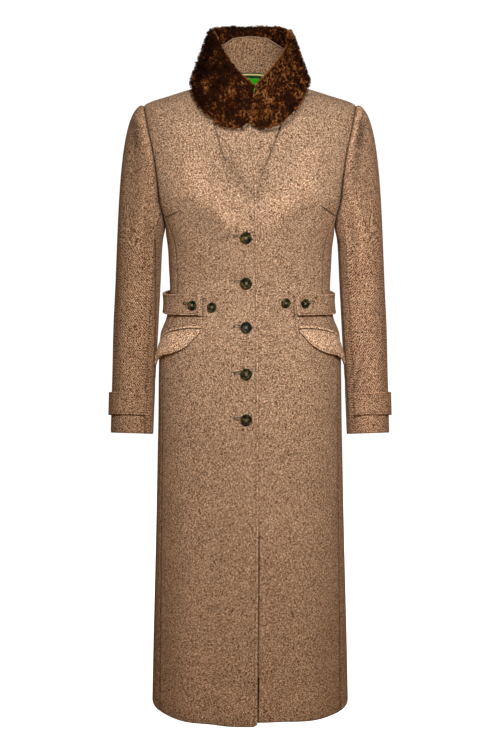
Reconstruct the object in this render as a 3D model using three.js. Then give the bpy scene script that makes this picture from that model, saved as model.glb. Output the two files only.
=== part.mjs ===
// A woman's long loden coat, buttoned up and standing hollow as if it were worn.
// Six body panels (two fronts, two side panels, two backs), two-piece sleeves with cuff straps,
// a tall cloth collar stand under a thick fur collar, slanted pockets with flaps, a half belt that
// runs round the back and buttons onto the fronts, and sewn-through buttons.
//
// Millimetres. +Z is up, the coat faces -Y, and +X is the wearer's left. The origin lies between the
// shoulders in the middle of the neck opening, where the wearer's neck and shoulders carry the coat.
// Every panel is a wall of cloth: a grid of points on the garment's outer surface and the same
// points moved in along the surface's normal by the cloth's thickness.
import * as THREE from 'three';

const CLOTH = 2.4;          // thickness of the loden
const STRAP = 3.6;          // straps and flaps are the cloth doubled and pressed
const SEAM_GAP = 0.4;       // between pieces that are sewn to each other
const LAY_GAP = 0.5;        // between a panel and what lies on it
const NECK = -4;            // level of the neck seam at the side of the neck
const SHOULDER = -48;       // level of the shoulder tip
const UNDERARM = -290;      // level of the bottom of the armhole
const HEM = -1252;          // level of the hem
const FRONT_NECK_DROP = 46; // how far the neck seam falls at the centre front
const BACK_NECK_RISE = 12;  // and how far it rises at the centre back
const CHEST = -230;         // level above which the rings start to fall and rise so

const LODEN = new THREE.MeshStandardMaterial({ color: 0x9a7452, roughness: 0.95, metalness: 0 });
const FUR = new THREE.MeshStandardMaterial({ color: 0x42240e, roughness: 0.9, metalness: 0 });
const LINING = new THREE.MeshStandardMaterial({ color: 0x2f9a2a, roughness: 0.5, metalness: 0 });
const TAPE = new THREE.MeshStandardMaterial({ color: 0xb9a56a, roughness: 0.8, metalness: 0 });
const HORN = new THREE.MeshStandardMaterial({ color: 0x2e3226, roughness: 0.4, metalness: 0.2 });

// Round sections of the body by level: half width, depth to the front, depth to the back, and how
// square the ring is (2 is an ellipse).
const SECTIONS = [
  { level: -1252, width: 201, front: 162, back: 158, square: 2.3 },
  { level: -1130, width: 197.5, front: 156, back: 153, square: 2.3 },
  { level: -960, width: 192, front: 148, back: 147, square: 2.3 },
  { level: -792, width: 187, front: 140, back: 142, square: 2.3 },
  { level: -650, width: 183, front: 134, back: 138, square: 2.25 },
  { level: -571, width: 181.5, front: 130, back: 134, square: 2.25 },
  { level: -520, width: 180, front: 126, back: 130, square: 2.2 },
  { level: -492, width: 177, front: 121, back: 123, square: 2.2 },
  { level: -460, width: 165, front: 113, back: 111, square: 2.15 },
  { level: -420, width: 159.5, front: 106.5, back: 100, square: 2.15 },
  { level: -380, width: 159.5, front: 107, back: 97, square: 2.15 },
  { level: -335, width: 160.5, front: 116, back: 99, square: 2.2 },
  { level: -290, width: 166, front: 127, back: 104, square: 2.2 },
  { level: -258, width: 177, front: 131, back: 107, square: 2.2 },
  { level: -227, width: 191, front: 132, back: 109, square: 2.2 },
  { level: -156, width: 205, front: 122, back: 109, square: 2.15 },
  { level: -97, width: 209, front: 108, back: 103, square: 2.1 },
  { level: -48, width: 204.4, front: 96, back: 94, square: 2.05 },
  { level: -26, width: 147, front: 87, back: 81, square: 2 },
  { level: -4, width: 72, front: 77, back: 62, square: 2 },
];

// Soft flutes of the skirt: where round the body, how wide, how deep at the hem (plus is a ridge),
// and the level where each starts.
const FLUTES = [
  { angle: -38, spread: 11, depth: 3.5, from: -560 },
  { angle: -20, spread: 8, depth: -2.5, from: -640 },
  { angle: 16, spread: 8, depth: -3.5, from: -420 },
  { angle: 36, spread: 12, depth: 4, from: -600 },
  { angle: 78, spread: 12, depth: 1.5, from: -640 },
  { angle: 118, spread: 13, depth: -4, from: -560 },
  { angle: 150, spread: 12, depth: 5, from: -520 },
  { angle: 180, spread: 10, depth: -3, from: -560 },
  { angle: -150, spread: 12, depth: 5, from: -520 },
  { angle: -116, spread: 13, depth: -4, from: -560 },
  { angle: -76, spread: 12, depth: 1, from: -640 },
];

// The arm of a sleeve by height: centre, half width across and half depth fore and aft.
const ARM = [
  { z: -335, x: 217.5, y: -2, across: 44.5, deep: 61 },
  { z: -400, x: 221, y: -3, across: 44.5, deep: 58 },
  { z: -470, x: 225, y: -9, across: 44.5, deep: 55 },
  { z: -565, x: 229, y: -24, across: 43, deep: 51 },
  { z: -685, x: 233, y: -50, across: 42, deep: 46.5 },
];

const DEG = Math.PI / 180;
const V = (x, y, z) => new THREE.Vector3(x, y, z);
const mix = (a, b, t) => a + (b - a) * t;
const clamp01 = (t) => Math.min(1, Math.max(0, t));

function smooth(from, to, value) {
  const t = clamp01((value - from) / (to - from));
  return t * t * (3 - 2 * t);
}

// A smooth curve through a table's rows that never overshoots them.
function through(rows, key, column) {
  const x = rows.map((r) => r[key]);
  const y = rows.map((r) => r[column]);
  const last = x.length - 1;
  const slope = y.slice(1).map((v, i) => (v - y[i]) / (x[i + 1] - x[i]));
  const tangent = y.map((_, i) => {
    if (i === 0) return slope[0];
    if (i === last) return slope[last - 1];
    const [a, b] = [slope[i - 1], slope[i]];
    return a * b <= 0 ? 0 : (2 * a * b) / (a + b);
  });
  return (value) => {
    const v = Math.min(Math.max(value, Math.min(x[0], x[last])), Math.max(x[0], x[last]));
    let i = 0;
    while (i < last - 1 && (x[i + 1] - v) * Math.sign(x[last] - x[0]) < 0) i += 1;
    const h = x[i + 1] - x[i];
    const t = (v - x[i]) / h;
    const s = 1 - t;
    return y[i] * s * s * (1 + 2 * t) + y[i + 1] * t * t * (3 - 2 * t)
      + h * (tangent[i] * s * s * t - tangent[i + 1] * t * t * s);
  };
}

const bodyWidth = through(SECTIONS, 'level', 'width');
const bodyFront = through(SECTIONS, 'level', 'front');
const bodyBack = through(SECTIONS, 'level', 'back');
const bodySquare = through(SECTIONS, 'level', 'square');

// The angle from a to b, the short way round.
const turn = (a, b) => ((((b - a) % 360) + 540) % 360) - 180;

function fluteDepth(angle, level) {
  return FLUTES.reduce((sum, f) => {
    const away = turn(f.angle, angle) / f.spread;
    return sum + f.depth * Math.exp(-away * away) * smooth(f.from, HEM, level);
  }, 0);
}

// A point of the body's outer surface. Angle 0 is the centre front, 90 the wearer's left side, and
// 180 the centre back. The rings dip at the front and rise at the back towards the neck.
function bodyPoint(angle, level) {
  const [s, c] = [Math.sin(angle * DEG), Math.cos(angle * DEG)];
  const power = 2 / bodySquare(level);
  const flute = fluteDepth(angle, level);
  const depth = c > 0 ? bodyFront(level) : bodyBack(level);
  const tilt = smooth(CHEST, NECK, level) * c * c * (c > 0 ? -FRONT_NECK_DROP : BACK_NECK_RISE);
  return V(
    (bodyWidth(level) + flute) * Math.sign(s) * Math.abs(s) ** power,
    -(depth + flute) * Math.sign(c) * Math.abs(c) ** power,
    level + tilt,
  );
}

// The angle at which the body's front is x wide of the middle, at a level.
function angleAtX(x, level) {
  const share = Math.abs(x) / bodyWidth(level);
  return Math.sign(x) * Math.asin(share ** (bodySquare(level) / 2)) / DEG;
}

// The armhole is an ellipse over angle and level. Turn 0 is the shoulder tip, 90 the front, 180 the
// underarm and 270 the back.
const ARMHOLE = { middle: (SHOULDER + UNDERARM) / 2, half: (SHOULDER - UNDERARM) / 2, front: 29, back: 27 };
const armholeLevel = (at) => ARMHOLE.middle + ARMHOLE.half * Math.cos(at * DEG);
function armholeAngle(at) {
  const s = Math.sin(at * DEG);
  return 90 - (s > 0 ? ARMHOLE.front : ARMHOLE.back) * s;
}

// The sleeve's 22 columns meet the body's rows: 8 on the front, 6 under the arm and 8 on the back.
const COLUMN = 360 / 22;
const JOIN = 8 * COLUMN;                    // where the side panel's seams meet the armhole
const JOIN_LEVEL = armholeLevel(JOIN);
const frontSeam = through([
  { level: HEM, angle: 63 },
  { level: -940, angle: 66 },
  { level: -520, angle: 70 },
  { level: -470, angle: 67 },
  { level: -420, angle: 61 },
  { level: -350, angle: 61 },
  { level: JOIN_LEVEL, angle: armholeAngle(JOIN) },
], 'level', 'angle');
const backSeam = through([
  { level: HEM, angle: 114 },
  { level: -520, angle: 112 },
  { level: -420, angle: 115 },
  { level: JOIN_LEVEL, angle: armholeAngle(360 - JOIN) },
], 'level', 'angle');

// Levels of the body's rows: the skirt and waist, the armhole, and the shoulder.
const SKIRT_LEVELS = [
  HEM, -1130, -990, -860, -740, -640, -570, -525, -494, -466, -438, -405, -365, -325, UNDERARM,
];
const ARMHOLE_TURNS = Array.from({ length: 9 }, (_, i) => JOIN - i * COLUMN);
const SHOULDER_LEVELS = [-41, -31, -18, NECK];
const LEVELS = [...SKIRT_LEVELS, ...ARMHOLE_TURNS.map(armholeLevel), ...SHOULDER_LEVELS];

// Where a front or a back ends at its outer side, at row i: side seam, armhole, shoulder seam.
function outerAngle(i, seam, sign) {
  const k = i - SKIRT_LEVELS.length;
  if (k < 0) return seam(LEVELS[i]);
  if (k < ARMHOLE_TURNS.length) return armholeAngle(sign * ARMHOLE_TURNS[k]);
  return 90;
}

// The surface's normal by small steps along its two parameters, pointing away from a middle point.
function normalOf(surface, u, v, du, dv) {
  const along = surface(u + du, v).sub(surface(u - du, v));
  const up = surface(u, v + dv).sub(surface(u, v - dv));
  return along.cross(up).normalize();
}

// Joins two grids of points, outer[row][column] and inner[row][column], into one closed solid.
function solidBetween(outer, inner) {
  const [rows, columns] = [outer.length, outer[0].length];
  const points = [...outer.flat(), ...inner.flat()];
  const at = (r, c) => r * columns + c;
  const under = rows * columns;
  const index = [];
  const quad = (a, b, c, d) => index.push(a, b, c, a, c, d);
  for (let r = 0; r < rows - 1; r += 1) {
    for (let c = 0; c < columns - 1; c += 1) {
      quad(at(r, c), at(r, c + 1), at(r + 1, c + 1), at(r + 1, c));
      quad(under + at(r, c), under + at(r + 1, c), under + at(r + 1, c + 1), under + at(r, c + 1));
    }
    quad(at(r, 0), at(r + 1, 0), under + at(r + 1, 0), under + at(r, 0));
    const e = columns - 1;
    quad(at(r + 1, e), at(r, e), under + at(r, e), under + at(r + 1, e));
  }
  for (let c = 0; c < columns - 1; c += 1) {
    quad(at(0, c + 1), at(0, c), under + at(0, c), under + at(0, c + 1));
    const e = rows - 1;
    quad(at(e, c), at(e, c + 1), under + at(e, c + 1), under + at(e, c));
  }
  let volume = 0;
  for (let i = 0; i < index.length; i += 3) {
    const [a, b, c] = [points[index[i]], points[index[i + 1]], points[index[i + 2]]];
    volume += a.dot(b.clone().cross(c));
  }
  if (volume < 0) index.reverse();
  const geometry = new THREE.BufferGeometry();
  const position = new Float32Array(points.flatMap((p) => [p.x, p.y, p.z]));
  geometry.setAttribute('position', new THREE.BufferAttribute(position, 3));
  geometry.setIndex(index);
  return geometry;
}

// Pulls the four edges of a grid in by half a seam's gap.
function trimEdges(grid, trim) {
  const pull = (edge, next) => edge.add(next.clone().sub(edge).setLength(trim));
  grid.forEach((row) => {
    pull(row[0], row[1]);
    pull(row.at(-1), row.at(-2));
  });
  grid[0].forEach((p, c) => pull(p, grid[1][c]));
  grid.at(-1).forEach((p, c) => pull(p, grid.at(-2)[c]));
  return grid;
}

// A panel of cloth on a surface. spots[row][column] are its parameters, and the wall reaches from
// lift outside the surface to wall inside that.
function panel(surface, spots, { wall, lift = () => 0, outward = 1, step = [0.2, 0.4] }) {
  const trim = SEAM_GAP / 2;
  const place = (depth) => spots.map((row) => row.map(([u, v]) => {
    const n = normalOf(surface, u, v, step[0], step[1]).multiplyScalar(outward);
    return surface(u, v).addScaledVector(n, lift(u, v) - depth);
  }));
  return solidBetween(trimEdges(place(0), trim), trimEdges(place(wall), trim));
}

const coat = new THREE.Group();
function add(name, geometry, material) {
  const mesh = new THREE.Mesh(geometry, material);
  mesh.name = name;
  coat.add(mesh);
  return mesh;
}

// The fronts. The right front laps over the left one, so it is lifted by one cloth where they lie on
// each other. The left front hangs a little shorter at its edge, and both have a rounded corner.
const LAP = CLOTH + 0.9;
const LAP_RISE = { from: -78, to: -40 };    // the stretch of x in which the right front rises onto the left
const OVER_EDGE = through([
  { level: HEM, x: 15 },
  { level: -720, x: 17.5 },
  { level: -430, x: 15.5 },
  { level: -180, x: 13 },
  { level: -90, x: 5 },
  { level: NECK, x: 1.5 },
], 'level', 'x');
const UNDER_EDGE = through([
  { level: HEM, x: -32 },
  { level: -180, x: -30 },
  { level: NECK, x: -14 },
], 'level', 'x');
const FRONT_COLUMNS = [0, 0.04, 0.14, 0.27, 0.4, 0.53, 0.66, 0.79, 0.9, 1];
const CORNER = 9;           // radius of a front's lower corner
const LEFT_FRONT_SHORTER = 9;

const lapLift = (x) => LAP * smooth(LAP_RISE.from, LAP_RISE.to, x);

function front(side) {
  const over = side < 0;
  const spots = LEVELS.map((level, i) => {
    const edge = angleAtX(over ? OVER_EDGE(level) : UNDER_EDGE(level), level);
    const outer = side * outerAngle(i, frontSeam, 1);
    return FRONT_COLUMNS.map((t) => {
      let z = level;
      if (i === 0) {
        const away = t * Math.abs(outer - edge) * DEG * bodyWidth(level);
        const inside = Math.max(0, CORNER - away);
        z += CORNER - Math.sqrt(CORNER * CORNER - inside * inside);
        if (!over) z += LEFT_FRONT_SHORTER * (1 - t);
      }
      return [mix(edge, outer, t), z];
    });
  });
  const lift = (angle, level) => (over ? lapLift(bodyPoint(angle, level).x) : 0);
  return panel(bodyPoint, spots, { wall: CLOTH, lift });
}
add('front_right', front(-1), LODEN);
add('front_left', front(1), LODEN);

// The backs, joined by a plain centre-back seam.
const BACK_COLUMNS = [0, 0.14, 0.29, 0.44, 0.59, 0.74, 0.88, 1];
function back(side) {
  const spots = LEVELS.map((level, i) => {
    const outer = outerAngle(i, backSeam, -1);
    return BACK_COLUMNS.map((t) => [side * mix(180, outer, t), level]);
  });
  return panel(bodyPoint, spots, { wall: CLOTH });
}
add('back_right', back(-1), LODEN);
add('back_left', back(1), LODEN);

// The side panels fill in under the arms. Their top edge is the bottom of the armhole.
function sidePanel(side) {
  const levels = [...SKIRT_LEVELS, JOIN_LEVEL];
  const spots = levels.map((level) => Array.from({ length: 7 }, (_, c) => {
    const at = JOIN + c * COLUMN;
    const top = armholeLevel(at);
    const z = mix(HEM, top, (level - HEM) / (JOIN_LEVEL - HEM));
    const t = (armholeAngle(at) - armholeAngle(JOIN)) / (armholeAngle(360 - JOIN) - armholeAngle(JOIN));
    return [side * mix(frontSeam(level), backSeam(level), t), z];
  }));
  return panel(bodyPoint, spots, { wall: CLOTH });
}
add('side_right', sidePanel(-1), LODEN);
add('side_left', sidePanel(1), LODEN);

// The sleeves. The cap is a set of curves from the armhole out over the sleeve head and down to the
// arm's first ring, and the arm is a tube along a line that bends forward below the elbow.
const armX = through(ARM, 'z', 'x');
const armY = through(ARM, 'z', 'y');
const armAcross = through(ARM, 'z', 'across');
const armDeep = through(ARM, 'z', 'deep');
const ARM_TOP = ARM[0].z;
const ARM_END = ARM.at(-1).z;

// The directions along the arm, across it and forward, over a short stretch of its centre line.
const STRETCH = 4;
function armFrame(z) {
  const above = Math.min(z + STRETCH, ARM_TOP);
  const below = Math.max(z - STRETCH, ARM_END);
  const along = V(armX(below) - armX(above), armY(below) - armY(above), below - above).normalize();
  const across = V(1, 0, 0).addScaledVector(along, -along.x).normalize();
  return { along, across, forward: across.clone().cross(along).negate() };
}

// A point of the arm: at is the turn round it, 0 outside, 90 in front, 180 against the body.
function armPoint(at, z) {
  const { across, forward } = armFrame(z);
  return V(armX(z), armY(z), z)
    .addScaledVector(across, armAcross(z) * Math.cos(at * DEG))
    .addScaledVector(forward, armDeep(z) * Math.sin(at * DEG));
}

// Each curve leaves the armhole outwards, most at the shoulder, and comes down into the arm.
const HEAD_OUT = V(0.98, 0, 0.19);          // the direction in which the cap leaves the shoulder
const UNDER_OUT = V(0.5, 0, -0.85);         // and the underarm
const CAP = { fore: 0.35, under: 8, head: 44, hang: 0.42 };
function capPoint(at, t) {
  const [s, high] = [Math.sin(at * DEG), (1 + Math.cos(at * DEG)) / 2];
  const start = bodyPoint(armholeAngle(at), armholeLevel(at));
  const end = armPoint(at, ARM_TOP);
  const leave = HEAD_OUT.clone().multiplyScalar(high).addScaledVector(UNDER_OUT, 1 - high);
  leave.y -= CAP.fore * s;
  leave.normalize();
  const first = start.clone().addScaledVector(leave, mix(CAP.under, CAP.head, high));
  const second = end.clone().addScaledVector(armFrame(ARM_TOP).along, -CAP.hang * end.distanceTo(start));
  const q = 1 - t;
  return start.multiplyScalar(q * q * q).addScaledVector(first, 3 * q * q * t)
    .addScaledVector(second, 3 * q * t * t).addScaledVector(end, t * t * t);
}

// One surface for the sleeve: 0 to 1 is the cap, and from 1 to 2 the arm.
function sleevePoint(at, v) {
  return v < 1 ? capPoint(at, Math.max(v, 0)) : armPoint(at, mix(ARM_TOP, ARM_END, Math.min(v, 2) - 1));
}

const mirrored = (surface, side) => (u, v) => {
  const p = surface(u, v);
  p.x *= side;
  return p;
};

const SLEEVE_ROWS = [0, 0.07, 0.16, 0.3, 0.48, 0.68, 0.86, 1, 1.14, 1.28, 1.42, 1.56, 1.7, 1.85, 2];
function sleeve(side, from, columns) {
  const spots = SLEEVE_ROWS.map((v) => Array.from({ length: columns + 1 }, (_, c) => [from + c * COLUMN, v]));
  return panel(mirrored(sleevePoint, side), spots, { wall: CLOTH, outward: side, step: [0.5, 0.004] });
}
for (const [side, name] of [[-1, 'right'], [1, 'left']]) {
  add(`sleeve_top_${name}`, sleeve(side, -JOIN, 16), LODEN);
  add(`sleeve_under_${name}`, sleeve(side, JOIN, 6), LODEN);
}

// Finds where a spot of the front or back view, x across and z high, lies on the body.
function onBody(x, z, behind = false) {
  let [low, high] = [HEM, NECK];
  let angle = 0;
  for (let k = 0; k < 40; k += 1) {
    const level = (low + high) / 2;
    const reach = Math.min(Math.abs(x), bodyWidth(level) * 0.9999);
    angle = angleAtX(Math.sign(x) * reach, level);
    if (behind) angle = 180 - angle;
    if (bodyPoint(angle, level).z < z) low = level;
    else high = level;
  }
  return [angle, (low + high) / 2];
}

const bodyNormal = (angle, level) => normalOf(bodyPoint, angle, level, 0.2, 0.4);

// The half belt. It lies on the back, stands off the waist at the sides and ends in a tab on each
// front with rounded ends. The wearer's right side stands off further, and its top more than its
// bottom. The belt runs a little lower behind than in front.
const BELT = { top: -407, bottom: -446, right: -34, left: 31, lower: 9, corner: 1.6, columns: 36 };
const BELT_STANDS = [
  { angle: -96, top: 9, bottom: 5 },
  { angle: 96, top: 4, bottom: 2 },
];
const STAND_SPREAD = { behind: 34, ahead: 26 };    // degrees over which it fades, to the back and the front
function beltPoint(along, across) {
  const angle = along - 180;
  const level = mix(BELT.bottom, BELT.top, across) - BELT.lower * smooth(30, 90, Math.abs(turn(0, angle)));
  const stand = BELT_STANDS.reduce((sum, s) => {
    const away = turn(s.angle, angle);
    const spread = away * s.angle > 0 ? STAND_SPREAD.behind : STAND_SPREAD.ahead;
    return sum + mix(s.bottom, s.top, across) * Math.exp(-((away / spread) ** 2));
  }, 0);
  const proud = LAY_GAP + STRAP + 0.9 + stand;
  return bodyPoint(angle, level).addScaledVector(bodyNormal(angle, level), proud);
}
function halfBelt() {
  const [from, to] = [BELT.left + 180, 540 + BELT.right];
  const spots = [0, 0.12, 0.5, 0.88, 1].map((across) => {
    const corner = BELT.corner * (1 - Math.sqrt(1 - Math.abs(2 * across - 1) ** 4));
    return Array.from({ length: BELT.columns + 1 }, (_, c) => [
      mix(from + corner, to - corner, c / BELT.columns), across,
    ]);
  });
  return panel(beltPoint, spots, { wall: STRAP, step: [0.3, 0.01] });
}
add('half_belt', halfBelt(), LODEN);

// The pockets: a narrow welt and a leaf-shaped flap that hangs from it and turns round the side.
const FLAP = [
  { along: 0, angle: 31.5, top: -471, bottom: -477, proud: 0.6 },
  { along: 0.07, angle: 34.5, top: -470.5, bottom: -488, proud: 1 },
  { along: 0.22, angle: 41.5, top: -471.5, bottom: -507, proud: 2 },
  { along: 0.45, angle: 52.5, top: -477, bottom: -520, proud: 3.5 },
  { along: 0.7, angle: 63.5, top: -485, bottom: -528, proud: 6 },
  { along: 0.88, angle: 70.5, top: -494, bottom: -538, proud: 7.5 },
  { along: 1, angle: 75, top: -503, bottom: -551, proud: 8 },
];
const flapAngle = through(FLAP, 'along', 'angle');
const flapTop = through(FLAP, 'along', 'top');
const flapBottom = through(FLAP, 'along', 'bottom');
const flapProud = through(FLAP, 'along', 'proud');
const FLAP_STEPS = [0, 0.04, 0.09, 0.16, 0.25, 0.36, 0.48, 0.6, 0.72, 0.83, 0.92, 1];
const HINGE = STRAP + LAY_GAP + 0.2;        // how far the flap's outer face stands off the front at its top
const WELT = { wall: 2.6, lift: 1, width: 6, swell: 0.8 };

function pocketFlap(side) {
  const surface = (along, down) => {
    const level = mix(flapTop(along), flapBottom(along), down);
    const angle = side * flapAngle(along);
    return bodyPoint(angle, level)
      .addScaledVector(bodyNormal(angle, level), HINGE + flapProud(along) * Math.sin(down * 90 * DEG));
  };
  const spots = [1, 0.78, 0.5, 0.22, 0].map((down) => FLAP_STEPS.map((along) => [along, down]));
  return panel(surface, spots, { wall: STRAP, outward: -side, step: [0.004, 0.01] });
}
function pocketWelt(side) {
  const surface = (along, up) => {
    const angle = side * flapAngle(along);
    const level = flapTop(along) + WELT.lift + WELT.width * up;
    const proud = LAY_GAP + WELT.wall + WELT.swell * Math.sin(up * 180 * DEG);
    return bodyPoint(angle, level).addScaledVector(bodyNormal(angle, level), proud);
  };
  const spots = [0, 0.5, 1].map((up) => FLAP_STEPS.map((along) => [along, up]));
  return panel(surface, spots, { wall: WELT.wall, outward: side, step: [0.004, 0.01] });
}
for (const [side, name] of [[-1, 'right'], [1, 'left']]) {
  add(`pocket_flap_${name}`, pocketFlap(side), LODEN);
  add(`pocket_welt_${name}`, pocketWelt(side), LODEN);
}

// The cuff straps run from the front seam of the sleeve round the outside and button at the back,
// where they end in a blunt point.
const CUFF_STRAP = { top: -607, bottom: -651, front: 128, back: -104, point: 7, columns: 20 };
const armNormal = (at, z) => normalOf(armPoint, at, z, 0.5, 0.5).negate();
function cuffStrap(side) {
  const surface = (at, z) => {
    const proud = LAY_GAP + STRAP + 0.4 + 1.2 * Math.max(0, Math.cos(at * DEG));
    return armPoint(at, z).addScaledVector(armNormal(at, z), proud);
  };
  const spots = [0, 0.18, 0.5, 0.82, 1].map((across) => {
    const end = CUFF_STRAP.back + CUFF_STRAP.point * (1 - Math.sqrt(1 - Math.abs(2 * across - 1) ** 3));
    const z = mix(CUFF_STRAP.bottom, CUFF_STRAP.top, across);
    return Array.from({ length: CUFF_STRAP.columns + 1 }, (_, c) => [
      mix(end, CUFF_STRAP.front, c / CUFF_STRAP.columns), z,
    ]);
  });
  return panel(mirrored(surface, side), spots, { wall: STRAP, outward: -side, step: [0.5, 0.5] });
}
for (const [side, name] of [[-1, 'right'], [1, 'left']]) add(`cuff_strap_${name}`, cuffStrap(side), LODEN);

// The collar, from the wearer's right front edge round the back to the left one: the line of its
// roll along the top, its free edge over the shoulders, where the cloth stand meets the neck seam,
// and how far below the roll the stand's top lies.
const COLLAR = [
  { station: 0, roll_x: 13, roll_y: -98, roll_z: -15, edge_x: 6, edge_z: -79, seam: -1, below: 10 },
  { station: 1, roll_x: -10, roll_y: -92, roll_z: 4, edge_x: -16, edge_z: -90, seam: -16, below: 10 },
  { station: 2, roll_x: -33, roll_y: -80, roll_z: 27, edge_x: -44, edge_z: -88, seam: -34, below: 10 },
  { station: 3, roll_x: -53, roll_y: -58, roll_z: 53, edge_x: -71, edge_z: -73, seam: -54, below: 11 },
  { station: 4, roll_x: -67, roll_y: -30, roll_z: 78, edge_x: -97, edge_z: -48, seam: -74, below: 16 },
  { station: 5, roll_x: -74, roll_y: 8, roll_z: 91, edge_x: -110, edge_z: -14, seam: -96, below: 28 },
  { station: 6, roll_x: -61, roll_y: 44, roll_z: 96, edge_x: -93, edge_z: -10, seam: -122, below: 32 },
  { station: 7, roll_x: -34, roll_y: 63, roll_z: 98, edge_x: -54, edge_z: -16, seam: -151, below: 20 },
  { station: 8, roll_x: 0, roll_y: 69, roll_z: 98, edge_x: 0, edge_z: -20, seam: -180, below: 14 },
  { station: 9, roll_x: 34, roll_y: 63, roll_z: 98, edge_x: 54, edge_z: -16, seam: -209, below: 20 },
  { station: 10, roll_x: 62, roll_y: 44, roll_z: 96, edge_x: 93, edge_z: -10, seam: -238, below: 36 },
  { station: 11, roll_x: 77, roll_y: 8, roll_z: 87, edge_x: 110, edge_z: -14, seam: -264, below: 32 },
  { station: 12, roll_x: 74, roll_y: -30, roll_z: 66, edge_x: 97, edge_z: -41, seam: -286, below: 16 },
  { station: 13, roll_x: 62, roll_y: -58, roll_z: 42, edge_x: 80, edge_z: -63, seam: -306, below: 11 },
  { station: 14, roll_x: 48, roll_y: -78, roll_z: 20, edge_x: 57, edge_z: -83, seam: -326, below: 10 },
  { station: 15, roll_x: 34, roll_y: -92, roll_z: 0, edge_x: 29, edge_z: -90, seam: -343, below: 10 },
  { station: 16, roll_x: 20, roll_y: -98, roll_z: -17, edge_x: 11, edge_z: -80, seam: -354, below: 10 },
];
const LAST_STATION = COLLAR.at(-1).station;
const FUR_HALF = 8;         // half the thickness of the fur
const FUR_RIM = 0.6;        // and at its free edges, to which it rounds off over these shares and stations:
const FUR_ROUNDING = { down: 0.12, along: 0.9 };
const collar = {};
for (const column of Object.keys(COLLAR[0])) collar[column] = through(COLLAR, 'station', column);
const rollPoint = (at) => V(collar.roll_x(at), collar.roll_y(at), collar.roll_z(at));

// The free edge rests on the shoulders, its middle line half a thickness above the cloth. It passes
// from the front of the coat to the back, and forward again, near stations 5 and 11.
function edgePoint(at) {
  const behind = smooth(4.6, 5.4, at) * smooth(11.4, 10.6, at);
  const [x, z] = [collar.edge_x(at), collar.edge_z(at)];
  const place = (back) => {
    const [angle, level] = onBody(x, z, back);
    return bodyPoint(angle, level).addScaledVector(bodyNormal(angle, level), FUR_HALF + 2);
  };
  return place(false).multiplyScalar(1 - behind).addScaledVector(place(true), behind);
}

// The middle of the fur's thickness, from the roll down to the free edge. It drops steeply from the
// roll and comes in to the shoulders from above.
const FUR_BEND = { out: 0.25, drop: 18, back: 0.3, rise: 26 };
function furMiddle(at, down) {
  const [roll, edge] = [rollPoint(at), edgePoint(at)];
  const out = V(edge.x - roll.x, edge.y - roll.y, 0);
  const first = roll.clone().addScaledVector(out, FUR_BEND.out).add(V(0, 0, -FUR_BEND.drop));
  const second = edge.clone().addScaledVector(out, -FUR_BEND.back).add(V(0, 0, FUR_BEND.rise));
  const q = 1 - down;
  return roll.multiplyScalar(q * q * q).addScaledVector(first, 3 * q * q * down)
    .addScaledVector(second, 3 * q * down * down).addScaledVector(edge, down * down * down);
}

function furCollar() {
  const stations = Array.from({ length: 2 * LAST_STATION + 1 }, (_, c) => c / 2);
  const rows = [0, 0.06, 0.18, 0.34, 0.5, 0.66, 0.82, 0.94, 1];
  const rim = (t) => Math.sqrt(Math.max(0, 1 - (1 - t) ** 2));
  const place = (face) => rows.map((down) => stations.map((at) => {
    const across = rim(clamp01(Math.min(down, 1 - down) / FUR_ROUNDING.down));
    const end = rim(clamp01(Math.min(at, LAST_STATION - at) / FUR_ROUNDING.along));
    const half = mix(FUR_RIM, FUR_HALF, Math.min(across, end));
    const n = normalOf(furMiddle, at, down, 0.02, 0.004);
    return furMiddle(at, down).addScaledVector(n, face * half);
  }));
  return solidBetween(place(1), place(-1));
}
add('fur_collar', furCollar(), FUR);

// The cloth stand inside the fur, from the neck seam up to just below the roll.
function standPoint(at, up) {
  const foot = bodyPoint(collar.seam(at), NECK).add(V(0, 0, SEAM_GAP / 2));
  const roll = rollPoint(at);
  const outward = V(roll.x, roll.y, 0).normalize();
  const top = roll.addScaledVector(outward, -FUR_HALF - 1.2).add(V(0, 0, -collar.below(at)));
  return foot.lerp(top, up);
}
function collarStand() {
  const spots = [0, 0.33, 0.66, 1].map((up) => (
    Array.from({ length: 2 * LAST_STATION + 1 }, (_, c) => [c / 2, up])
  ));
  return panel(standPoint, spots, { wall: CLOTH, outward: -1, step: [0.02, 0.01] });
}
add('collar_stand', collarStand(), LODEN);

// Inside the back of the neck, a tape lies along the foot of the stand, between two of its stations.
const NECK_TAPE = { from: 4, to: 12, bottom: 0.02, top: 0.11, wall: 1.2 };
function neckTape() {
  const steps = 2 * (NECK_TAPE.to - NECK_TAPE.from);
  const spots = [NECK_TAPE.bottom, NECK_TAPE.top].map((up) => (
    Array.from({ length: steps + 1 }, (_, c) => [NECK_TAPE.from + c / 2, up])
  ));
  const surface = (at, up) => standPoint(at, up)
    .addScaledVector(normalOf(standPoint, at, up, 0.02, 0.01), CLOTH + LAY_GAP);
  return panel(surface, spots, { wall: NECK_TAPE.wall, outward: -1, step: [0.02, 0.01] });
}
add('neck_tape', neckTape(), TAPE);

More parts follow.
